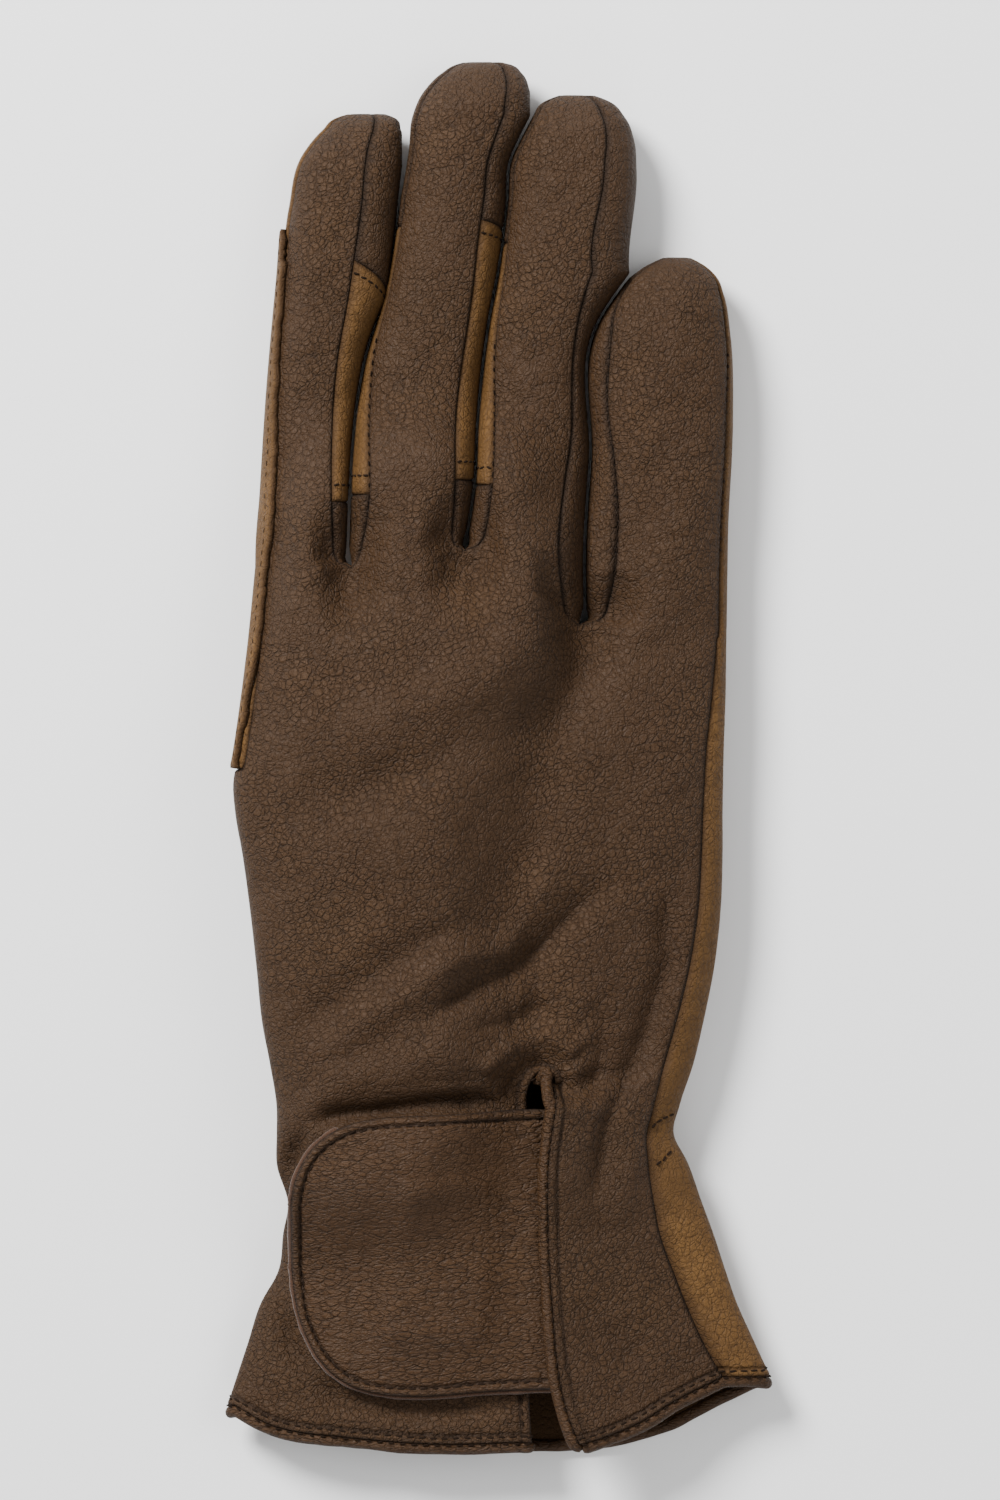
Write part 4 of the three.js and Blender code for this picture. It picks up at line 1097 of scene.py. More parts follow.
def lumps(points, size, seed):
    """Soft random swells about one size across, from sums of turned waves."""
    rng = np.random.default_rng(seed)
    total = np.zeros(len(points))
    for _ in range(WAVES):
        turn = rng.uniform(0, 2 * np.pi)
        wave = 2 * np.pi / (size * rng.uniform(0.7, 1.6))
        phase = rng.uniform(0, 2 * np.pi)
        along = points[:, 0] * np.cos(turn) + points[:, 1] * np.sin(turn)
        total += np.sin(along * wave + phase)
    return total / WAVES ** 0.5


# The strap's edges in the photograph, in its pixels
STRAP_LEFT, STRAP_RIGHT, STRAP_TOP, STRAP_BOTTOM = 292, 543, 1107, 1395


def under_strap(x, y):
    """1 under the middle of the strap, where the leather is pressed flat."""
    low, high = place(STRAP_LEFT, STRAP_BOTTOM), place(STRAP_RIGHT, STRAP_TOP)
    edge = 4 * MM
    inside_x = smooth(0, edge, x - low[0]) * smooth(0, edge, high[0] + 2 * MM - x)
    inside_y = smooth(0, edge, y - low[1]) * smooth(0, edge, high[1] - y)
    return inside_x * inside_y


# %% Sink the skin by its folds
# Soft swells of the whole skin: height, size across and seed
SWELLS = ((0.16 * MM, 11 * MM, 4), (0.07 * MM, 4.5 * MM, 9))
# How dark the painted shade in a deep fold gets, and between which depths it darkens
FOLD_SHADE, SHADED_DEPTHS = 0.32, (0.4 * MM, 3.2 * MM)


def shape_top(skin):
    """Sinks what faces up by the folds and gathers, swells it a little, and paints shade into the deep
    places.
    """
    x, y = skin.points[:, 0], skin.points[:, 1]
    facing = smooth(0.1, 0.7, skin.normals[:, 2])
    free = 1 - under_strap(x, y)
    swell = sum(height * lumps(skin.points, size, seed) for height, size, seed in SWELLS)
    drawn_in = facing * free * (fold_depth(x, y) + gathers(x, y))
    skin.points[:, 2] -= drawn_in - facing * free * swell
    # Painted shade in the deep folds and gathers
    skin.dark = FOLD_SHADE * smooth(*SHADED_DEPTHS, drawn_in)
    skin.update_normals()


HEM_SEAM, FLAP_SEAM = 1.7 * MM, 1.9 * MM


def sewn_edge(gap, seam, ridge=0.32 * MM, groove=0.30 * MM):
    """Height of a turned and sewn edge: a ridge at the edge and a groove under its row of stitches."""
    raised = ridge * np.exp(-((gap - seam * 0.45) / (seam * 0.40)) ** 2)
    return raised - groove * np.exp(-((gap - seam) / (0.32 * MM)) ** 2)


def stitch_shade(gap, seam):
    """Painted shade in the groove under a row of stitches: how dark it gets there."""
    return 0.85 * np.exp(-((gap - seam) / (0.30 * MM)) ** 2)


def shape_edges(skin):
    """Turned edges round the cuff and down both sides of the slit."""
    hem = np.concatenate([left_back[0], right_back[0], right_wall[0], left_wall[0]])
    slit = np.concatenate([left_back[rows <= SLIT_CLOSED, -1], right_back[rows <= SLIT_CLOSED, 0]])
    for edge, seam in ((hem, HEM_SEAM), (slit, FLAP_SEAM)):
        gap = nearest(skin.points, skin.points[edge])
        near = gap < 3 * seam
        # Painted shade in the grooves under the hem's and the slit's stitches
        skin.dark = np.maximum(skin.dark, stitch_shade(gap, seam))
        height = np.where(near, sewn_edge(gap, seam), 0) * smooth(0.0, 0.5, skin.normals[:, 2])
        skin.points += skin.normals * height[:, None]
    skin.update_normals()


shape_top(hand)
shape_edges(hand)
print("folds:", len(FOLDS), "highest point:", round(hand.points[:, 2].max() / MM, 1), "mm")

# %% [markdown]
# ## Cutting a panel out
#
# A cut panel is thin and its edge is soft. Near its edge the outer face rounds down into the seam, as
# leather does where a thread pulls it in. `KDTree` finds the nearest edge point for every point of the
# panel, and the inner face is the same surface one leather's thickness further in.

# %% Panels
ROUNDING = 0.7 * MM
EDGE_SINK = 0.45
VISIBLE_GAP = 0.03 * MM
SEAM_SHADE = 0.45 * MM
LINING_HEIGHT = 0.2 * MM
slots = {entry["node"]: entry["material_slot"] for entry in frame["record"]["subparts"]}


def open_edges(quads):
    """Edges that one face only uses, as pairs of points in the faces' own order."""
    edges = np.concatenate([quads[:, [i, (i + 1) % 4]] for i in range(4)])
    edges = edges[edges[:, 0] != edges[:, 1]]
    keys = np.sort(edges, axis=1)
    _, index, counts = np.unique(keys, axis=0, return_index=True, return_counts=True)
    return edges[index[counts == 1]]


def make_mesh(name, points, quads, attributes=None):
    """Mesh from quads, where a quad with a repeated corner becomes a triangle."""
    corners = []
    for quad in quads.tolist():
        kept = [c for i, c in enumerate(quad) if c != quad[(i + 1) % 4]]
        if len(kept) > 2:
            corners.append(kept)
    mesh = bpy.data.meshes.new(name)
    mesh.from_pydata(points.tolist(), [], corners)
    mesh.polygons.foreach_set("use_smooth", np.ones(len(corners), bool))
    for key, values in (attributes or {}).items():
        mesh.attributes.new(key, "FLOAT", "POINT").data.foreach_set("value", values.astype(np.float32))
    mesh.update()
    piece = bpy.data.objects.new(name, mesh)
    bpy.context.collection.objects.link(piece)
    return piece


def cut_panel(skin, panel, name, wall=WALL, outer=0.0, clearance=VISIBLE_GAP, rounding=ROUNDING):
    """Closed piece of leather from one panel of the skin."""
    quads = skin.faces[panel]
    edges = open_edges(quads)
    used = np.unique(quads)
    index = np.zeros(len(skin.points), int)
    index[used] = np.arange(len(used))
    points, normals = skin.points[used], skin.normals[used]
    edge_ids = np.unique(edges)
    start, end = skin.points[edges[:, 0]], skin.points[edges[:, 1]]
    gap = nearest(points, np.vstack([mix(start, end, share) for share in (0, 0.25, 0.5, 0.75)]))
    moved = np.zeros_like(points)
    moved[index[edge_ids]] = edge_moves(skin, edges)
    fall = np.clip(1 - gap / rounding, 0, 1)
    depth = rounding * EDGE_SINK * (1 - np.sqrt(1 - fall ** 2))
    top = points + normals * (outer - depth)[:, None] + moved * clearance
    bottom = points + normals * (outer - wall - depth.max() * 0.6) + moved * clearance
    top[:, 2] = np.maximum(top[:, 2], 0)
    bottom[:, 2] = np.maximum(bottom[:, 2], LINING_HEIGHT)
    far = len(used)
    faces = index[quads]
    a, b = index[edges[:, 0]], index[edges[:, 1]]
    every = np.vstack([faces, far + faces[:, ::-1], np.stack([b, a, far + a, far + b], axis=1)])
    # Painted shade: darker towards the edge, where the panel rounds into its seam, and in the skin's deep
    # folds and stitch grooves. The inner face takes the dark colour in full.
    dark = np.exp(-(gap / SEAM_SHADE) ** 2)
    if skin.dark is not None:
        dark = np.maximum(dark, skin.dark[used])
    seam = np.concatenate([dark, np.ones(far)])
    return make_mesh(name, np.vstack([top, bottom]), every, {"seam": seam})


def edge_moves(skin, edges):
    """Way in from the edge at each edge point, lying in the panel."""
    edge_ids = np.unique(edges)
    index = np.full(len(skin.points), -1)
    index[edge_ids] = np.arange(len(edge_ids))
    a, b = skin.points[edges[:, 0]], skin.points[edges[:, 1]]
    normal = skin.normals[edges[:, 0]] + skin.normals[edges[:, 1]]
    way = np.cross(normal, b - a)
    way /= np.maximum(np.linalg.norm(way, axis=1, keepdims=True), 1e-12)
    sums = np.zeros((len(edge_ids), 3))
    for i in range(2):
        np.add.at(sums, index[edges[:, i]], way)
    return sums / np.maximum(np.linalg.norm(sums, axis=1, keepdims=True), 0.5)


# %% [markdown]
# Each piece rides on a body of the frame, takes the finish of the node it stands for, and hides that
# node's plain solid. These three calls tie the dressed glove to the plain solids.

# %% Tie the panels to the frame
def finish_piece(piece, node):
    """Gives a piece the finish of the node it is drawn for, hangs it on the root body, hides the node."""
    piece.data.materials.append(FINISHES[slots[node]])
    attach(piece, "root")
    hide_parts(node)


for panel in hand.faces:
    finish_piece(cut_panel(hand, panel, panel + "_leather"), panel)
print("panels:", len(hand.faces))

# %% [markdown]
# ## The reinforcement along the index finger
#
# A strip of tan leather is laid over the seam on the index side, with its edge left raw. It could be a
# separate ribbon that is shrunk onto the hand. Here it is a resampled stretch of the skin itself, lifted
# by one leather's thickness, so it follows every bend below it. Its inner edge on the back comes from the
# photograph, and a little random cutting makes it rough.

# %% Strip
STRIP_THICKNESS = 0.9 * MM
STRIP_OUTER = STRIP_THICKNESS + 0.12 * MM
STRIP_COLUMNS = 14
CUT_STEPS = 400
# The strip's inner edge on the back, as seen in the photograph
STRIP_EDGE = places([(282, 240), (281, 296), (278, 335), (275, 411), (276, 450), (272, 518), (267.6, 555),
                     (263, 600), (259.5, 638), (250.6, 689), (243, 728), (237, 762)])


def path_at(points, shares):
    """Points at shares of the way along a path."""
    steps = np.linalg.norm(np.diff(points, axis=0), axis=1)
    walked = np.concatenate([[0], np.cumsum(steps)])
    at = shares * walked[-1]
    return np.stack([np.interp(at, walked, points[:, i]) for i in range(3)], axis=-1)


def strip_skin():
    """Rows of points across the strip, cut off at its inner edge."""
    rng = np.random.default_rng(3)
    rough = np.convolve(rng.normal(0, 0.20 * MM, CUT_STEPS), np.ones(3) / 3, mode="same")
    end = row_at(finger_shares, STRIP_END)
    sides = [(left_wall[r], back[r]) for r in range(strip_row, len(rows))]
    sides += [(fingers[0]["left"][f], fingers[0]["top"][f]) for f in range(1, end + 1)]
    made = []
    for i, (wall, top) in enumerate(sides):
        ids = np.concatenate([wall[::-1], top[1:12]])
        points = hand.points[ids]
        outer_x = points[:, 0] + hand.normals[ids, 0] * STRIP_OUTER
        y = points[:, 1].mean()
        edge = np.interp(-y, -STRIP_EDGE[:, 1], STRIP_EDGE[:, 0]) + rough[i % CUT_STEPS]
        first = len(wall) // 3
        reached = np.flatnonzero(outer_x[first + 2:] > edge)
        last = first + 2 + (reached[0] if len(reached) else len(points) - first - 3)
        share = np.clip((edge - outer_x[last - 1]) / max(1e-9, outer_x[last] - outer_x[last - 1]), 0, 1)
        cut = np.vstack([points[first:last], mix(points[last - 1], points[last], share)])
        made.append(path_at(cut, np.linspace(0, 1, STRIP_COLUMNS)))
    return np.stack(made)


strip = Skin()
strip.grid("strip", strip.add(strip_skin()))
strip.finish()
strip_piece = cut_panel(strip, "strip", "index_side_strip_leather", wall=STRIP_THICKNESS,
                        outer=STRIP_OUTER, clearance=0, rounding=0.3 * MM)
finish_piece(strip_piece, "index_side_strip")
print("strip:", len(strip.points), "points")

# %% [markdown]
# ## The wrist strap and its patch
#
# The strap comes from under the right flap, crosses the slit and lies on the left flap, where a patch
# of hook and loop tape holds it. Real strap leather is stiffer than the hand's, so it bridges the small
# folds below. Its height is found as a sheet of leather would find it: it starts on the skin, is
# smoothed, and is raised again wherever the skin would come through.

# %% Surface below a place
def quads_tree(points, quads):
    triangles = np.vstack([quads[:, [0, 1, 2]], quads[:, [0, 2, 3]]])
    return BVHTree.FromPolygons(points.tolist(), triangles.tolist(), epsilon=0.0)


def surface_tree(skin, names):
    return quads_tree(skin.points, np.vstack([skin.faces[name] for name in names]))


def drop(tree, x, y, default=0.0):
    """Height of the surface under each place in plan."""
    heights = np.full(x.shape, np.nan)
    for i in np.ndindex(x.shape):
        hit = tree.ray_cast(Vector((x[i], y[i], 0.1)), Vector((0, 0, -1)))[0]
        if hit is not None:
            heights[i] = hit.z
    return np.where(np.isnan(heights), default, heights)


# %% Patch of hook and loop tape
PATCH_THICKNESS = 1.2 * MM
PATCH_ROWS, PATCH_COLUMNS = (0.12, 0.30), (0.36, 0.72)


def patch_grid():
    low, high = (row_at(rows, share) for share in PATCH_ROWS)
    first, last = (int(SLIT_COLUMN * share) for share in PATCH_COLUMNS)
    return back[low:high + 1, first:last + 1]


patch = Skin()
patch.grid("patch", patch.add(hand.points[patch_grid()]))
patch.finish()
patch_piece = cut_panel(patch, "patch", "strap_patch_tape", wall=PATCH_THICKNESS,
                        outer=SEAM_GAP + PATCH_THICKNESS, clearance=0, rounding=0.3 * MM)
finish_piece(patch_piece, "strap_patch")
print("patch:", len(patch.points), "points")

# %% Strap's outline and height
STRAP_THICKNESS = 1.6 * MM
STRAP_TUCK = 3 * MM
# Height along the hand, as a share, at which the strap's length is measured
STRAP_ROW = 0.242
FLAP_MARGIN = 4.6 * MM
PLAN_STEP = 0.5 * MM
STRAP_STEPS = 150
# Where the rounded tip becomes a straight edge, as a row of the table below
STRAP_BLUNT = 0.077
# How far the strap stays above the skin below it, also where the patch lies between, and below the
# flap and roll above it
LAID_ON, ON_PATCH = 0.35 * MM, PATCH_THICKNESS + 2 * SEAM_GAP + 0.2 * MM
TUCKED_UNDER = 4.1 * MM
# How far down the strap's two long edges lie in the photograph, against its length from the tip
STRAP_SHAPE = table(["out", "top", "bottom"], [
    [0.000, 1236, 1236],
    [0.077, 1203, 1268],
    [0.141, 1180, 1302],
    [0.236, 1156, 1334],
    [0.346, 1136, 1363],
    [0.468, 1121, 1384],
    [0.582, 1114, 1393],
    [0.697, 1112, 1395],
    [0.854, 1109, 1390],
    [1.000, 1107, 1387],
])
strap_root = curve(SLIT, STRAP_ROW, "right") * WRIST_WIDTH + STRAP_TUCK
strap_tip = photo_x(STRAP_LEFT)
slit_left_edge = curve(SLIT, STRAP_ROW, "left") * WRIST_WIDTH


# %% [markdown]
# The height is worked out on an even grid in plan and read off it afterwards. Smoothing on the strap's
# own rows would pull its tip about, because they crowd together there.

# %% Strap's height
def blur(grid, times):
    """The grid with each point moved to the mean of its four neighbours, again and again."""
    for _ in range(times):
        padded = np.pad(grid, 1, mode="edge")
        grid = (padded[:-2, 1:-1] + padded[2:, 1:-1] + padded[1:-1, :-2] + padded[1:-1, 2:]) / 4
    return grid


def filled(heights):
    """Heights with each gap in a row filled from the row's own ends."""
    made = heights.copy()
    for row in made:
        known = np.flatnonzero(~np.isnan(row))
        if len(known):
            row[:] = np.interp(np.arange(len(row)), known, row[known])
    return made


def strap_plan():
    """Height of the strap's inner face on an even grid in plan."""
    across = np.arange(strap_tip - 2 * MM, strap_root + 2 * MM, PLAN_STEP)
    up = np.arange(photo_y(STRAP_BOTTOM) - 2 * MM, photo_y(STRAP_TOP) + 2 * MM, PLAN_STEP)
    x, y = np.meshgrid(across, up)
    section = body_section(y)
    held = np.clip(x, section.centre - section.reach + FLAP_MARGIN, slit_left_edge - 0.5 * MM)
    below = filled(drop(surface_tree(hand, ["back"]), held, y, np.nan))
    on_patch = ~np.isnan(drop(surface_tree(patch, ["patch"]), x, y, np.nan))
    needed = below + np.where(on_patch, ON_PATCH, LAID_ON)
    height = needed
    for _ in range(3):
        height = np.maximum(blur(height, 30), needed - 0.1 * MM)
    flap = quads_tree(hand.points, grid_quads(right_back[rows <= SLIT_CLOSED]))
    roof = drop(flap, x + BINDING, y, np.nan)
    height = np.fmin(height, roof - TUCKED_UNDER)
    return across, up, blur(height, 8)


def sample(across, up, heights, x, y):
    """Heights at places between the points of an even grid."""
    i = np.clip((x - across[0]) / PLAN_STEP, 0, len(across) - 1.001)
    j = np.clip((y - up[0]) / PLAN_STEP, 0, len(up) - 1.001)
    left, low = i.astype(int), j.astype(int)
    i, j = i - left, j - low
    bottom = mix(heights[low, left], heights[low, left + 1], i)
    top = mix(heights[low + 1, left], heights[low + 1, left + 1], i)
    return mix(bottom, top, j)


def strap_skin():
    """Grid of the strap's outer face, from its tip to its root."""
    out = np.linspace(STRAP_BLUNT, 1, STRAP_STEPS + 1)[:, None]
    x = strap_tip + (strap_root - strap_tip) * (out ** 2 - STRAP_BLUNT ** 2) / (1 - STRAP_BLUNT ** 2)
    top = photo_y(curve(STRAP_SHAPE, out, "top"))
    bottom = photo_y(curve(STRAP_SHAPE, out, "bottom"))
    x, y = np.broadcast_arrays(x, mix(bottom, top, spread(STRAP_STEPS)[None, :]))
    return np.stack([x, y, sample(*strap_plan(), x, y) + STRAP_THICKNESS], axis=-1)


# %% Strap
STRAP_SEAM = 1.7 * MM
RIM_POINTS = 3000
strap = Skin()
strap_ids = strap.add(strap_skin())
strap.grid("strap", strap_ids[:, ::-1])
strap.finish()
rim_loop = np.concatenate([strap_ids[::-1, -1], strap_ids[0, -2:0:-1], strap_ids[:, 0]])
strap_gap = nearest(strap.points, path_at(strap.points[rim_loop], np.linspace(0, 1, RIM_POINTS)))
pillow = 0.35 * MM * smooth(STRAP_SEAM, 9 * MM, strap_gap) + 0.05 * MM * lumps(strap.points, 5 * MM, 21)
strap.points[:, 2] += sewn_edge(strap_gap, STRAP_SEAM, 0.28 * MM, 0.38 * MM) + pillow
# Painted shade in the groove under the strap's stitches
strap.dark = stitch_shade(strap_gap, STRAP_SEAM)
strap_piece = cut_panel(strap, "strap", "strap_leather", wall=STRAP_THICKNESS, clearance=0, rounding=0.7 * MM)
finish_piece(strap_piece, "strap")
print("strap:", round((strap_root - strap_tip) / MM, 1), "mm long")

# %% [markdown]
# ## Rolled edges
#
# The cuff and the slit's right flap end in a narrow roll: the leather is turned over its own edge and
# sewn down. A tube along the edge does it, with a slightly flattened section, softened ends, and a
# little unevenness, because a turned edge is never a perfect wire.

# %% Rolls
ROLL_SIDES, ROLL_STEP, RINGS_PER_BUMP = 14, 0.5 * MM, 6
ROLL_FLATNESS = 0.92
# How far down and out from the edge a roll's middle lies, in its radii
ROLL_DOWN, ROLL_OUT = 0.75, 0.90


def ways_in(skin, quads):
    """Way into the panel at each point of its edge, found by the point's number."""
    edges = open_edges(quads)
    return dict(zip(np.unique(edges).tolist(), edge_moves(skin, edges)))


def inset(ids, skin, quads, by):
    """Points of an edge moved into the panel."""
    ways = ways_in(skin, quads)
    return np.array([skin.points[i] + ways[i] * by for i in ids.tolist() if i in ways])


def cap(a, b, centre):
    """Faces from a tube's last ring to the point in its middle."""
    middle = np.full_like(a, centre)
    return np.stack([a, b, middle, middle], axis=1)


def roll_mesh(name, centres, normal, radius, seed, wobble=0.05):
    """Slightly flattened tube round a path, with a half round end at both ends."""
    rng = np.random.default_rng(seed)
    way = np.gradient(centres, axis=0)
    way /= np.linalg.norm(way, axis=1, keepdims=True)
    normal = normal - (normal * way).sum(1, keepdims=True) * way
    normal /= np.linalg.norm(normal, axis=1, keepdims=True)
    other = np.cross(way, normal)
    count = len(centres)
    walked = np.concatenate([[0], np.cumsum(np.linalg.norm(np.diff(centres, axis=0), axis=1))])
    end = np.minimum(walked, walked[-1] - walked) / radius
    taper = np.sqrt(1 - (1 - np.clip(end, 0.02, 1)) ** 2)
    bumps = count // RINGS_PER_BUMP + 2
    uneven = 1 + wobble * np.interp(walked, np.linspace(0, walked[-1], bumps), rng.normal(0, 1, bumps))
    size = (radius * taper * uneven)[:, None, None]
    angle = np.linspace(0, 2 * np.pi, ROLL_SIDES, endpoint=False)[None, :, None]
    turned = np.cos(angle) * other[:, None] + ROLL_FLATNESS * np.sin(angle) * normal[:, None]
    rings = centres[:, None] + size * turned
    rings[..., 2] = np.maximum(rings[..., 2], 0)
    ids = np.arange(count * ROLL_SIDES).reshape(count, ROLL_SIDES)
    ids = np.concatenate([ids, ids[:, :1]], axis=1)
    points = np.vstack([rings.reshape(-1, 3), centres[:1], centres[-1:]])
    first = cap(ids[0, 1:], ids[0, :-1], len(points) - 2)
    last = cap(ids[-1, :-1], ids[-1, 1:], len(points) - 1)
    return make_mesh(name, points, np.vstack([grid_quads(ids), first, last]))


def roll_along(name, ids, radius, panel_quads, seed):
    """Roll along an edge of the hand, where the edge has a way out of its panel."""
    ways = ways_in(hand, panel_quads)
    out = -np.array([ways.get(i, np.zeros(3)) for i in ids.tolist()])
    good = np.linalg.norm(out, axis=1) > 0.1
    out = out[good]
    out /= np.linalg.norm(out, axis=1, keepdims=True)
    normal = hand.normals[ids][good]
    centres = hand.points[ids][good] - normal * radius * ROLL_DOWN + out * radius * ROLL_OUT
    centres[:, 2] = np.maximum(centres[:, 2], radius)
    walked = np.linalg.norm(np.diff(centres, axis=0), axis=1)
    shares = np.concatenate([[0], np.cumsum(walked)]) / walked.sum()
    at = np.linspace(0, 1, int(walked.sum() / ROLL_STEP))
    softened = []
    for values in (centres, normal):
        even = np.stack([np.interp(at, shares, values[:, i]) for i in range(3)], axis=-1)
        for i in range(3):
            even[2:-2, i] = np.convolve(even[:, i], np.array([1, 2, 3, 2, 1]) / 9, mode="valid")
        softened.append(even)
    return roll_mesh(name, *softened, radius, seed)


# %% Rolls of the slit and the cuff
body_quads = np.vstack([hand.faces["back"], hand.faces["palm"]])
over_hole = back[(rows > SLIT_TOP + 0.02) & (rows < SLIT_CLOSED - 1e-9), SLIT_COLUMN]
slit_ids = np.concatenate([over_hole, slit_right[rows <= SLIT_CLOSED + 1e-9][::-1]])
slit_roll = roll_along("slit_rolled_edge", np.concatenate([slit_ids, right_back[0, 1:3]]),
                       BINDING / 2, body_quads, seed=5)
finish_piece(slit_roll, "slit_binding")
hem_ids = np.concatenate([right_back[0, 1:], right_wall[0, 1:], palm[0, -2::-1],
                          left_wall[0, -2::-1], left_back[0, 1:]])
hem_roll = roll_along("hem_rolled_edge", hem_ids, BINDING / 2, body_quads, seed=6)
finish_piece(hem_roll, "hem_binding")
print("rolled edges:", len(slit_roll.data.vertices), "and", len(hem_roll.data.vertices), "points")

# %% [markdown]
# ## The strap's raw edge
#
# The strap's own edge isn't turned. It is cut, and its raw side shows as a thin, lighter line round the
# rounded end and along the lower edge. A narrow, uneven cord just under the strap's face draws it.

# %% Raw edge
RAW_CORD, RAW_RINGS = 0.55 * MM, 300
# How far the cord stands out of the edge and lies below the face, and where it ends on the upper edge
RAW_OUT, RAW_DOWN, RAW_END = 0.1 * MM, 0.95 * MM, 56
raw_rim = np.concatenate([strap_ids[RAW_END:0:-1, -1], strap_ids[0, ::-1], strap_ids[1:-2, 0]])
raw_path = inset(raw_rim, strap, strap.faces["strap"], -RAW_OUT) - strap.normals[raw_rim] * RAW_DOWN
raw_shares = np.linspace(0, 1, RAW_RINGS)
raw_cord = roll_mesh("strap_raw_edge", path_at(raw_path, raw_shares),
                     path_at(strap.normals[raw_rim], raw_shares), RAW_CORD, seed=9, wobble=0.1)
raw_cord.data.materials.append(RAW_EDGE)
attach(raw_cord, "root")
print("raw edge:", len(raw_cord.data.vertices), "points")

# %% [markdown]
# ## The thumb
#
# The thumb is folded under the palm and can't be seen from above, but it carries one side of the glove.
# It is a flattened pouch of the same leathers, drawn as rings along its middle line, with its mouth
# open to the palm.

# %% Thumb
THUMB_RINGS, THUMB_SIDES = 90, 80
MOUTH = (0.12, 0.50)
# The middle line is averaged over this share of its length, so that the thumb bends softly
THUMB_SOFTNESS = 0.07


def thumb_axis(share):
    at = share * (len(thumb_points) - 1)
    steps = np.arange(len(thumb_points))
    return np.stack([np.interp(at, steps, thumb_points[:, i]) for i in range(2)], axis=-1)


def thumb_skin():
    skin = Skin()
    shares = np.unique(np.concatenate([(1 - np.cos(np.linspace(0, np.pi, THUMB_RINGS))) / 2, MOUTH]))
    moves = np.linspace(-THUMB_SOFTNESS, THUMB_SOFTNESS, 9)
    centre = np.mean([thumb_axis(np.clip(shares + move, 0, 1)) for move in moves], axis=0)
    way = np.gradient(centre, axis=0)
    way /= np.linalg.norm(way, axis=1, keepdims=True)
    reach = curve(THUMB_OUTLINE, shares, "half") * THUMB_WIDTH / 2
    half = curve(THUMB_OUTLINE, shares, "height") * THUMB_HEIGHT / 2
    across, over = round_point(2 * np.pi * np.arange(THUMB_SIDES) / THUMB_SIDES)
    x = centre[:, :1] + way[:, 1:] * reach[:, None] * across
    y = centre[:, 1:] - way[:, :1] * reach[:, None] * across
    z = THUMB_HEIGHT / 2 + half[:, None] * np.clip(over * FLATTENING * 1.1, -1, 1)
    ids = skin.add(np.stack([x, y, z], axis=-1))
    for ring in (ids[0], ids[-1]):
        ring[THUMB_SIDES // 2 + 1:] = ring[THUMB_SIDES // 2 - 1:0:-1]
    ids = np.concatenate([ids, ids[:, :1]], axis=1)
    a, b = THUMB_SIDES // 8, THUMB_SIDES * 3 // 8
    low, high = (row_at(shares, share) for share in MOUTH)
    skin.band("thumb_back", ids[1:, :a + 1], ids[:-1, :a + 1])
    skin.band("thumb_back", ids[1:, b:], ids[:-1, b:])
    skin.band("thumb_back", ids[1:low + 1, a:b + 1], ids[:low, a:b + 1])
    skin.band("thumb_front", ids[high + 1:, a:b + 1], ids[high:-1, a:b + 1])
    skin.finish()
    return skin


thumb = thumb_skin()
for panel in thumb.faces:
    finish_piece(cut_panel(thumb, panel, panel + "_leather"), panel)
print("thumb:", len(thumb.points), "points")

# %% [markdown]
# ## Stitches
#
# Dark thread shows as short dashes, about five to the centimetre, pulled down into the leather. Each
# row could be an array along a curve. Here one function walks a path on the surface, places a small
# plump capsule at every step, and joins a row into one mesh, so that each row stays one piece.

# %% Sewing
PITCH, STITCH_LENGTH, THREAD = 2.0 * MM, 1.25 * MM, 0.21 * MM
UPPER_SIDE = 6 * MM
CAPSULE_SIDES, CAPSULE_RINGS = 6, 5


def capsule():
    """Points and quads of one stitch along X, one unit long and one unit thick."""
    turn = np.linspace(0, 2 * np.pi, CAPSULE_SIDES, endpoint=False)
    along = np.sin(np.linspace(-np.pi / 2, np.pi / 2, CAPSULE_RINGS + 2)[1:-1])
    size = np.sqrt(1 - along ** 2) ** 0.6
    rings = np.stack([np.broadcast_to(along[:, None] / 2, (CAPSULE_RINGS, CAPSULE_SIDES)),
                      size[:, None] * np.cos(turn), size[:, None] * np.sin(turn)], axis=-1).reshape(-1, 3)
    points = np.vstack([rings, [(-0.5, 0, 0), (0.5, 0, 0)]])
    ids = np.arange(CAPSULE_RINGS * CAPSULE_SIDES).reshape(CAPSULE_RINGS, CAPSULE_SIDES)
    ids = np.concatenate([ids, ids[:, :1]], axis=1)
    sides = np.stack([ids[:-1, :-1], ids[1:, :-1], ids[1:, 1:], ids[:-1, 1:]], axis=-1).reshape(-1, 4)
    first, last = len(points) - 2, len(points) - 1
    caps = [(a, b, first, first) for a, b in zip(ids[0, :-1], ids[0, 1:])]
    caps += [(b, a, last, last) for a, b in zip(ids[-1, :-1], ids[-1, 1:])]
    return points, np.vstack([sides, caps])


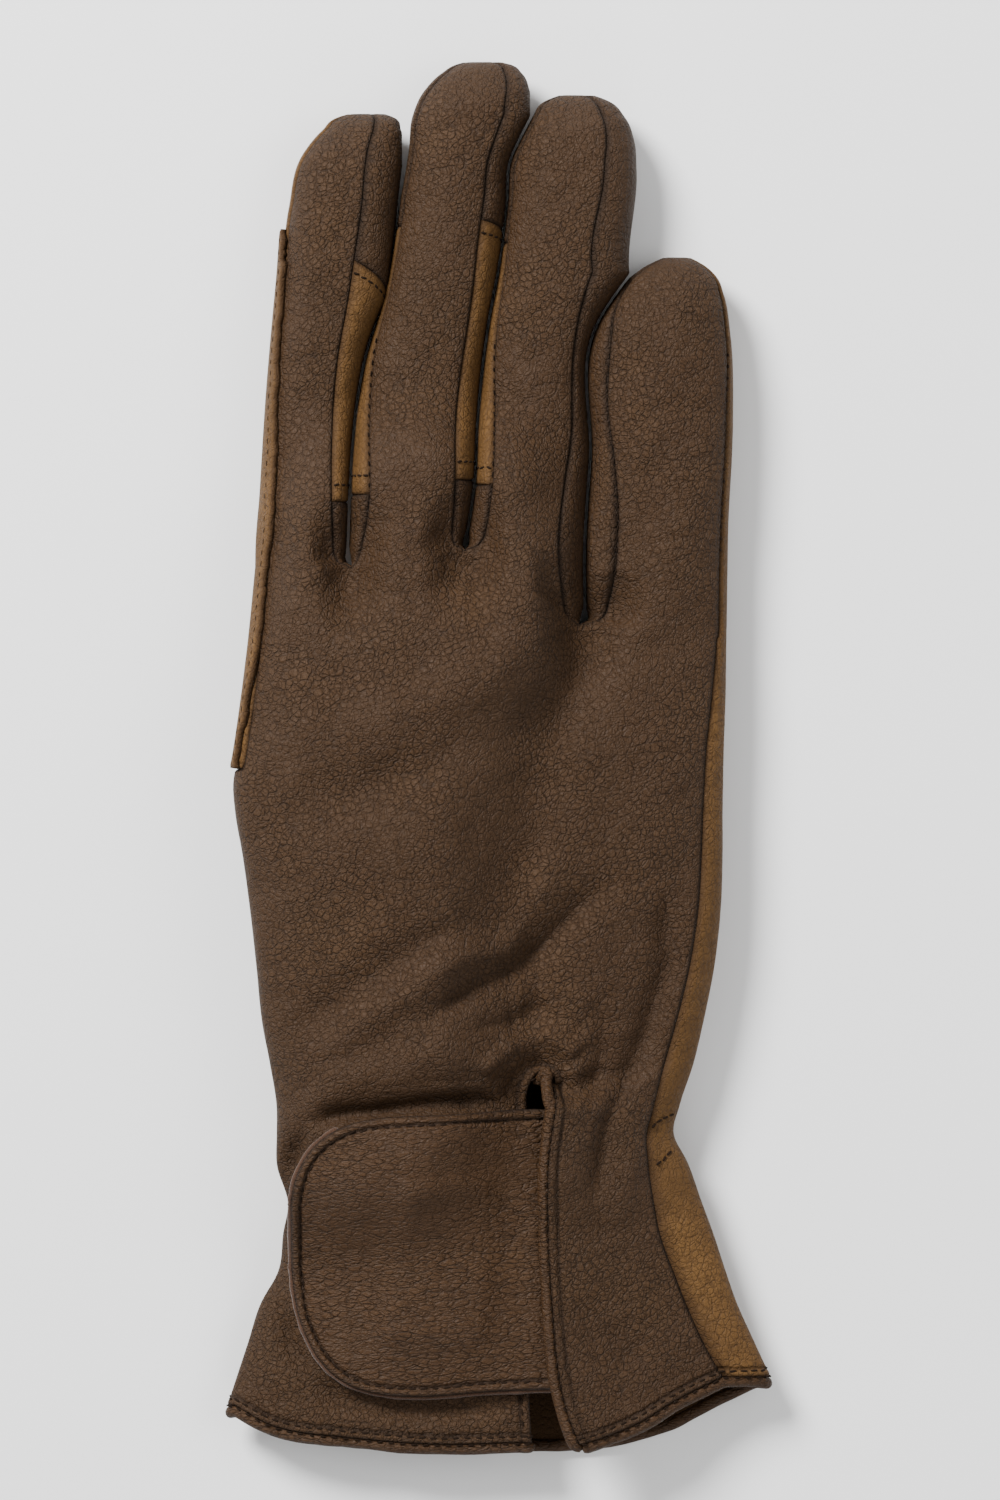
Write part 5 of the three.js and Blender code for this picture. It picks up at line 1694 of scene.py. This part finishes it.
def sew(name, paths, tree, pitch=PITCH, length=STITCH_LENGTH, thread=THREAD, raised=0.02 * MM, seed=0):
    """One mesh of stitches along paths that lie on or near a surface."""
    rng = np.random.default_rng(seed)
    shape, quads = capsule()
    points, faces = [], []
    for path in paths:
        path = np.asarray(path)
        total = np.linalg.norm(np.diff(path, axis=0), axis=1).sum()
        count = max(2, int(round(total / pitch)))
        middles = path_at(path, (np.arange(count) + 0.5) / count)
        ahead = path_at(path, np.minimum(1, (np.arange(count) + 0.6) / count))
        for middle, end in zip(middles, ahead):
            spot, normal, _, _ = tree.find_nearest(Vector(middle))
            if spot is None:
                continue
            if normal.z < 0 and middle[2] > UPPER_SIDE:
                normal = -normal
            way = Vector(end) - Vector(middle) + Vector(rng.normal(0, 0.03 * MM, 3))
            way = (way - normal * way.dot(normal)).normalized()
            side = normal.cross(way)
            frame_of = np.array([way * length * rng.uniform(0.85, 1.1), side * thread, normal * thread]).T
            faces.append(quads + len(points) * len(shape))
            points.append(shape @ frame_of.T + np.array(spot + normal * raised))
    piece = make_mesh(name, np.vstack(points), np.vstack(faces))
    piece.data.materials.append(DARK_THREAD)
    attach(piece, "root")
    return len(points)


def on_skin(paths):
    """Paths in the photograph's pixels, dropped onto the hand."""
    dropped = []
    for path in paths:
        flat = places(path)
        dropped.append(np.column_stack([flat, drop(hand_tree, flat[:, 0], flat[:, 1])]))
    return dropped


# %% Rows of stitches
hand_tree = surface_tree(hand, list(hand.faces))
strap_tree = surface_tree(strap, ["strap"])
made = {}
strap_row = inset(rim_loop[6:-6], strap, strap.faces["strap"], STRAP_SEAM)
made["strap"] = sew("strap_stitches", [strap_row], strap_tree)
hem_inset = inset(hem_ids, hand, body_quads, HEM_SEAM)
made["cuff"] = sew("cuff_stitches", [hem_inset], hand_tree, seed=1)
made["cuff edge"] = sew("cuff_edge_stitches", [hand.points[hem_ids]], hand_tree,
                        length=1.1 * MM, thread=0.17 * MM, seed=2)
made["slit"] = sew("slit_stitches", [hand.points[slit_ids]], hand_tree,
                   length=1.1 * MM, thread=0.18 * MM, seed=3)
left_edge = inset(left_back[rows < 0.30, -1], hand, body_quads, FLAP_SEAM)
made["flap"] = sew("flap_stitches", [left_edge[4:]], hand_tree, seed=4)
scalloped = np.flatnonzero((finger_shares > 0.12) & (finger_shares < 0.46))
seams = [fingers[k]["top"][scalloped, 0] for k in (1, 2, 3)]
made["seams"] = sew("seam_stitches", [hand.points[seam] for seam in seams], hand_tree,
                    length=0.9 * MM, thread=0.13 * MM, raised=-0.05 * MM, seed=5)
# How far along the finger a row of stitches lies from its join, at the crotch and at the tip
FROM_JOIN = {CROTCH_SHARE: 0.035, TIP_SHARE: -0.022}
joins = []
for k, side in ((0, "right"), (1, "left"), (1, "right"), (2, "left")):
    for share in (CROTCH_SHARE, TIP_SHARE):
        row = row_at(finger_shares, share + FROM_JOIN[share])
        if side == "right" or share == CROTCH_SHARE:
            joins.append(hand.points[fingers[k][side][row, :WALL_FACETS * 2 // 3]])
made["joins"] = sew("gusset_stitches", joins, hand_tree,
                    pitch=1.5 * MM, length=1.1 * MM, thread=0.2 * MM, seed=6)
# Dark thread in two short zigzags where the wrist pinches: the elastic's stitching, and also painted shade
# for the dark creases of the pinch
pinch = [[(651, 1127), (662, 1118), (674, 1113)], [(656, 1164), (664, 1158), (671, 1150)]]
made["pinch"] = sew("wrist_stitches", on_skin(pinch), hand_tree,
                    pitch=1.3 * MM, length=1.2 * MM, thread=0.22 * MM, seed=7)
strip_tree = surface_tree(strip, ["strip"])
strip_line = strip.points.reshape(-1, STRIP_COLUMNS, 3)[2:-2, -4]
made["strip"] = sew("strip_stitches", [strip_line], strip_tree, length=1.0 * MM, thread=0.12 * MM,
                    raised=STRIP_THICKNESS + 0.1 * MM, seed=8)
holes = [[(728, 350), (725.5, 424), (722.5, 500), (720, 556)]]
made["holes"] = sew("side_stitches", on_skin(holes), hand_tree, length=0.6 * MM, thread=0.22 * MM,
                    raised=-0.08 * MM, seed=10)
print("stitches:", made)
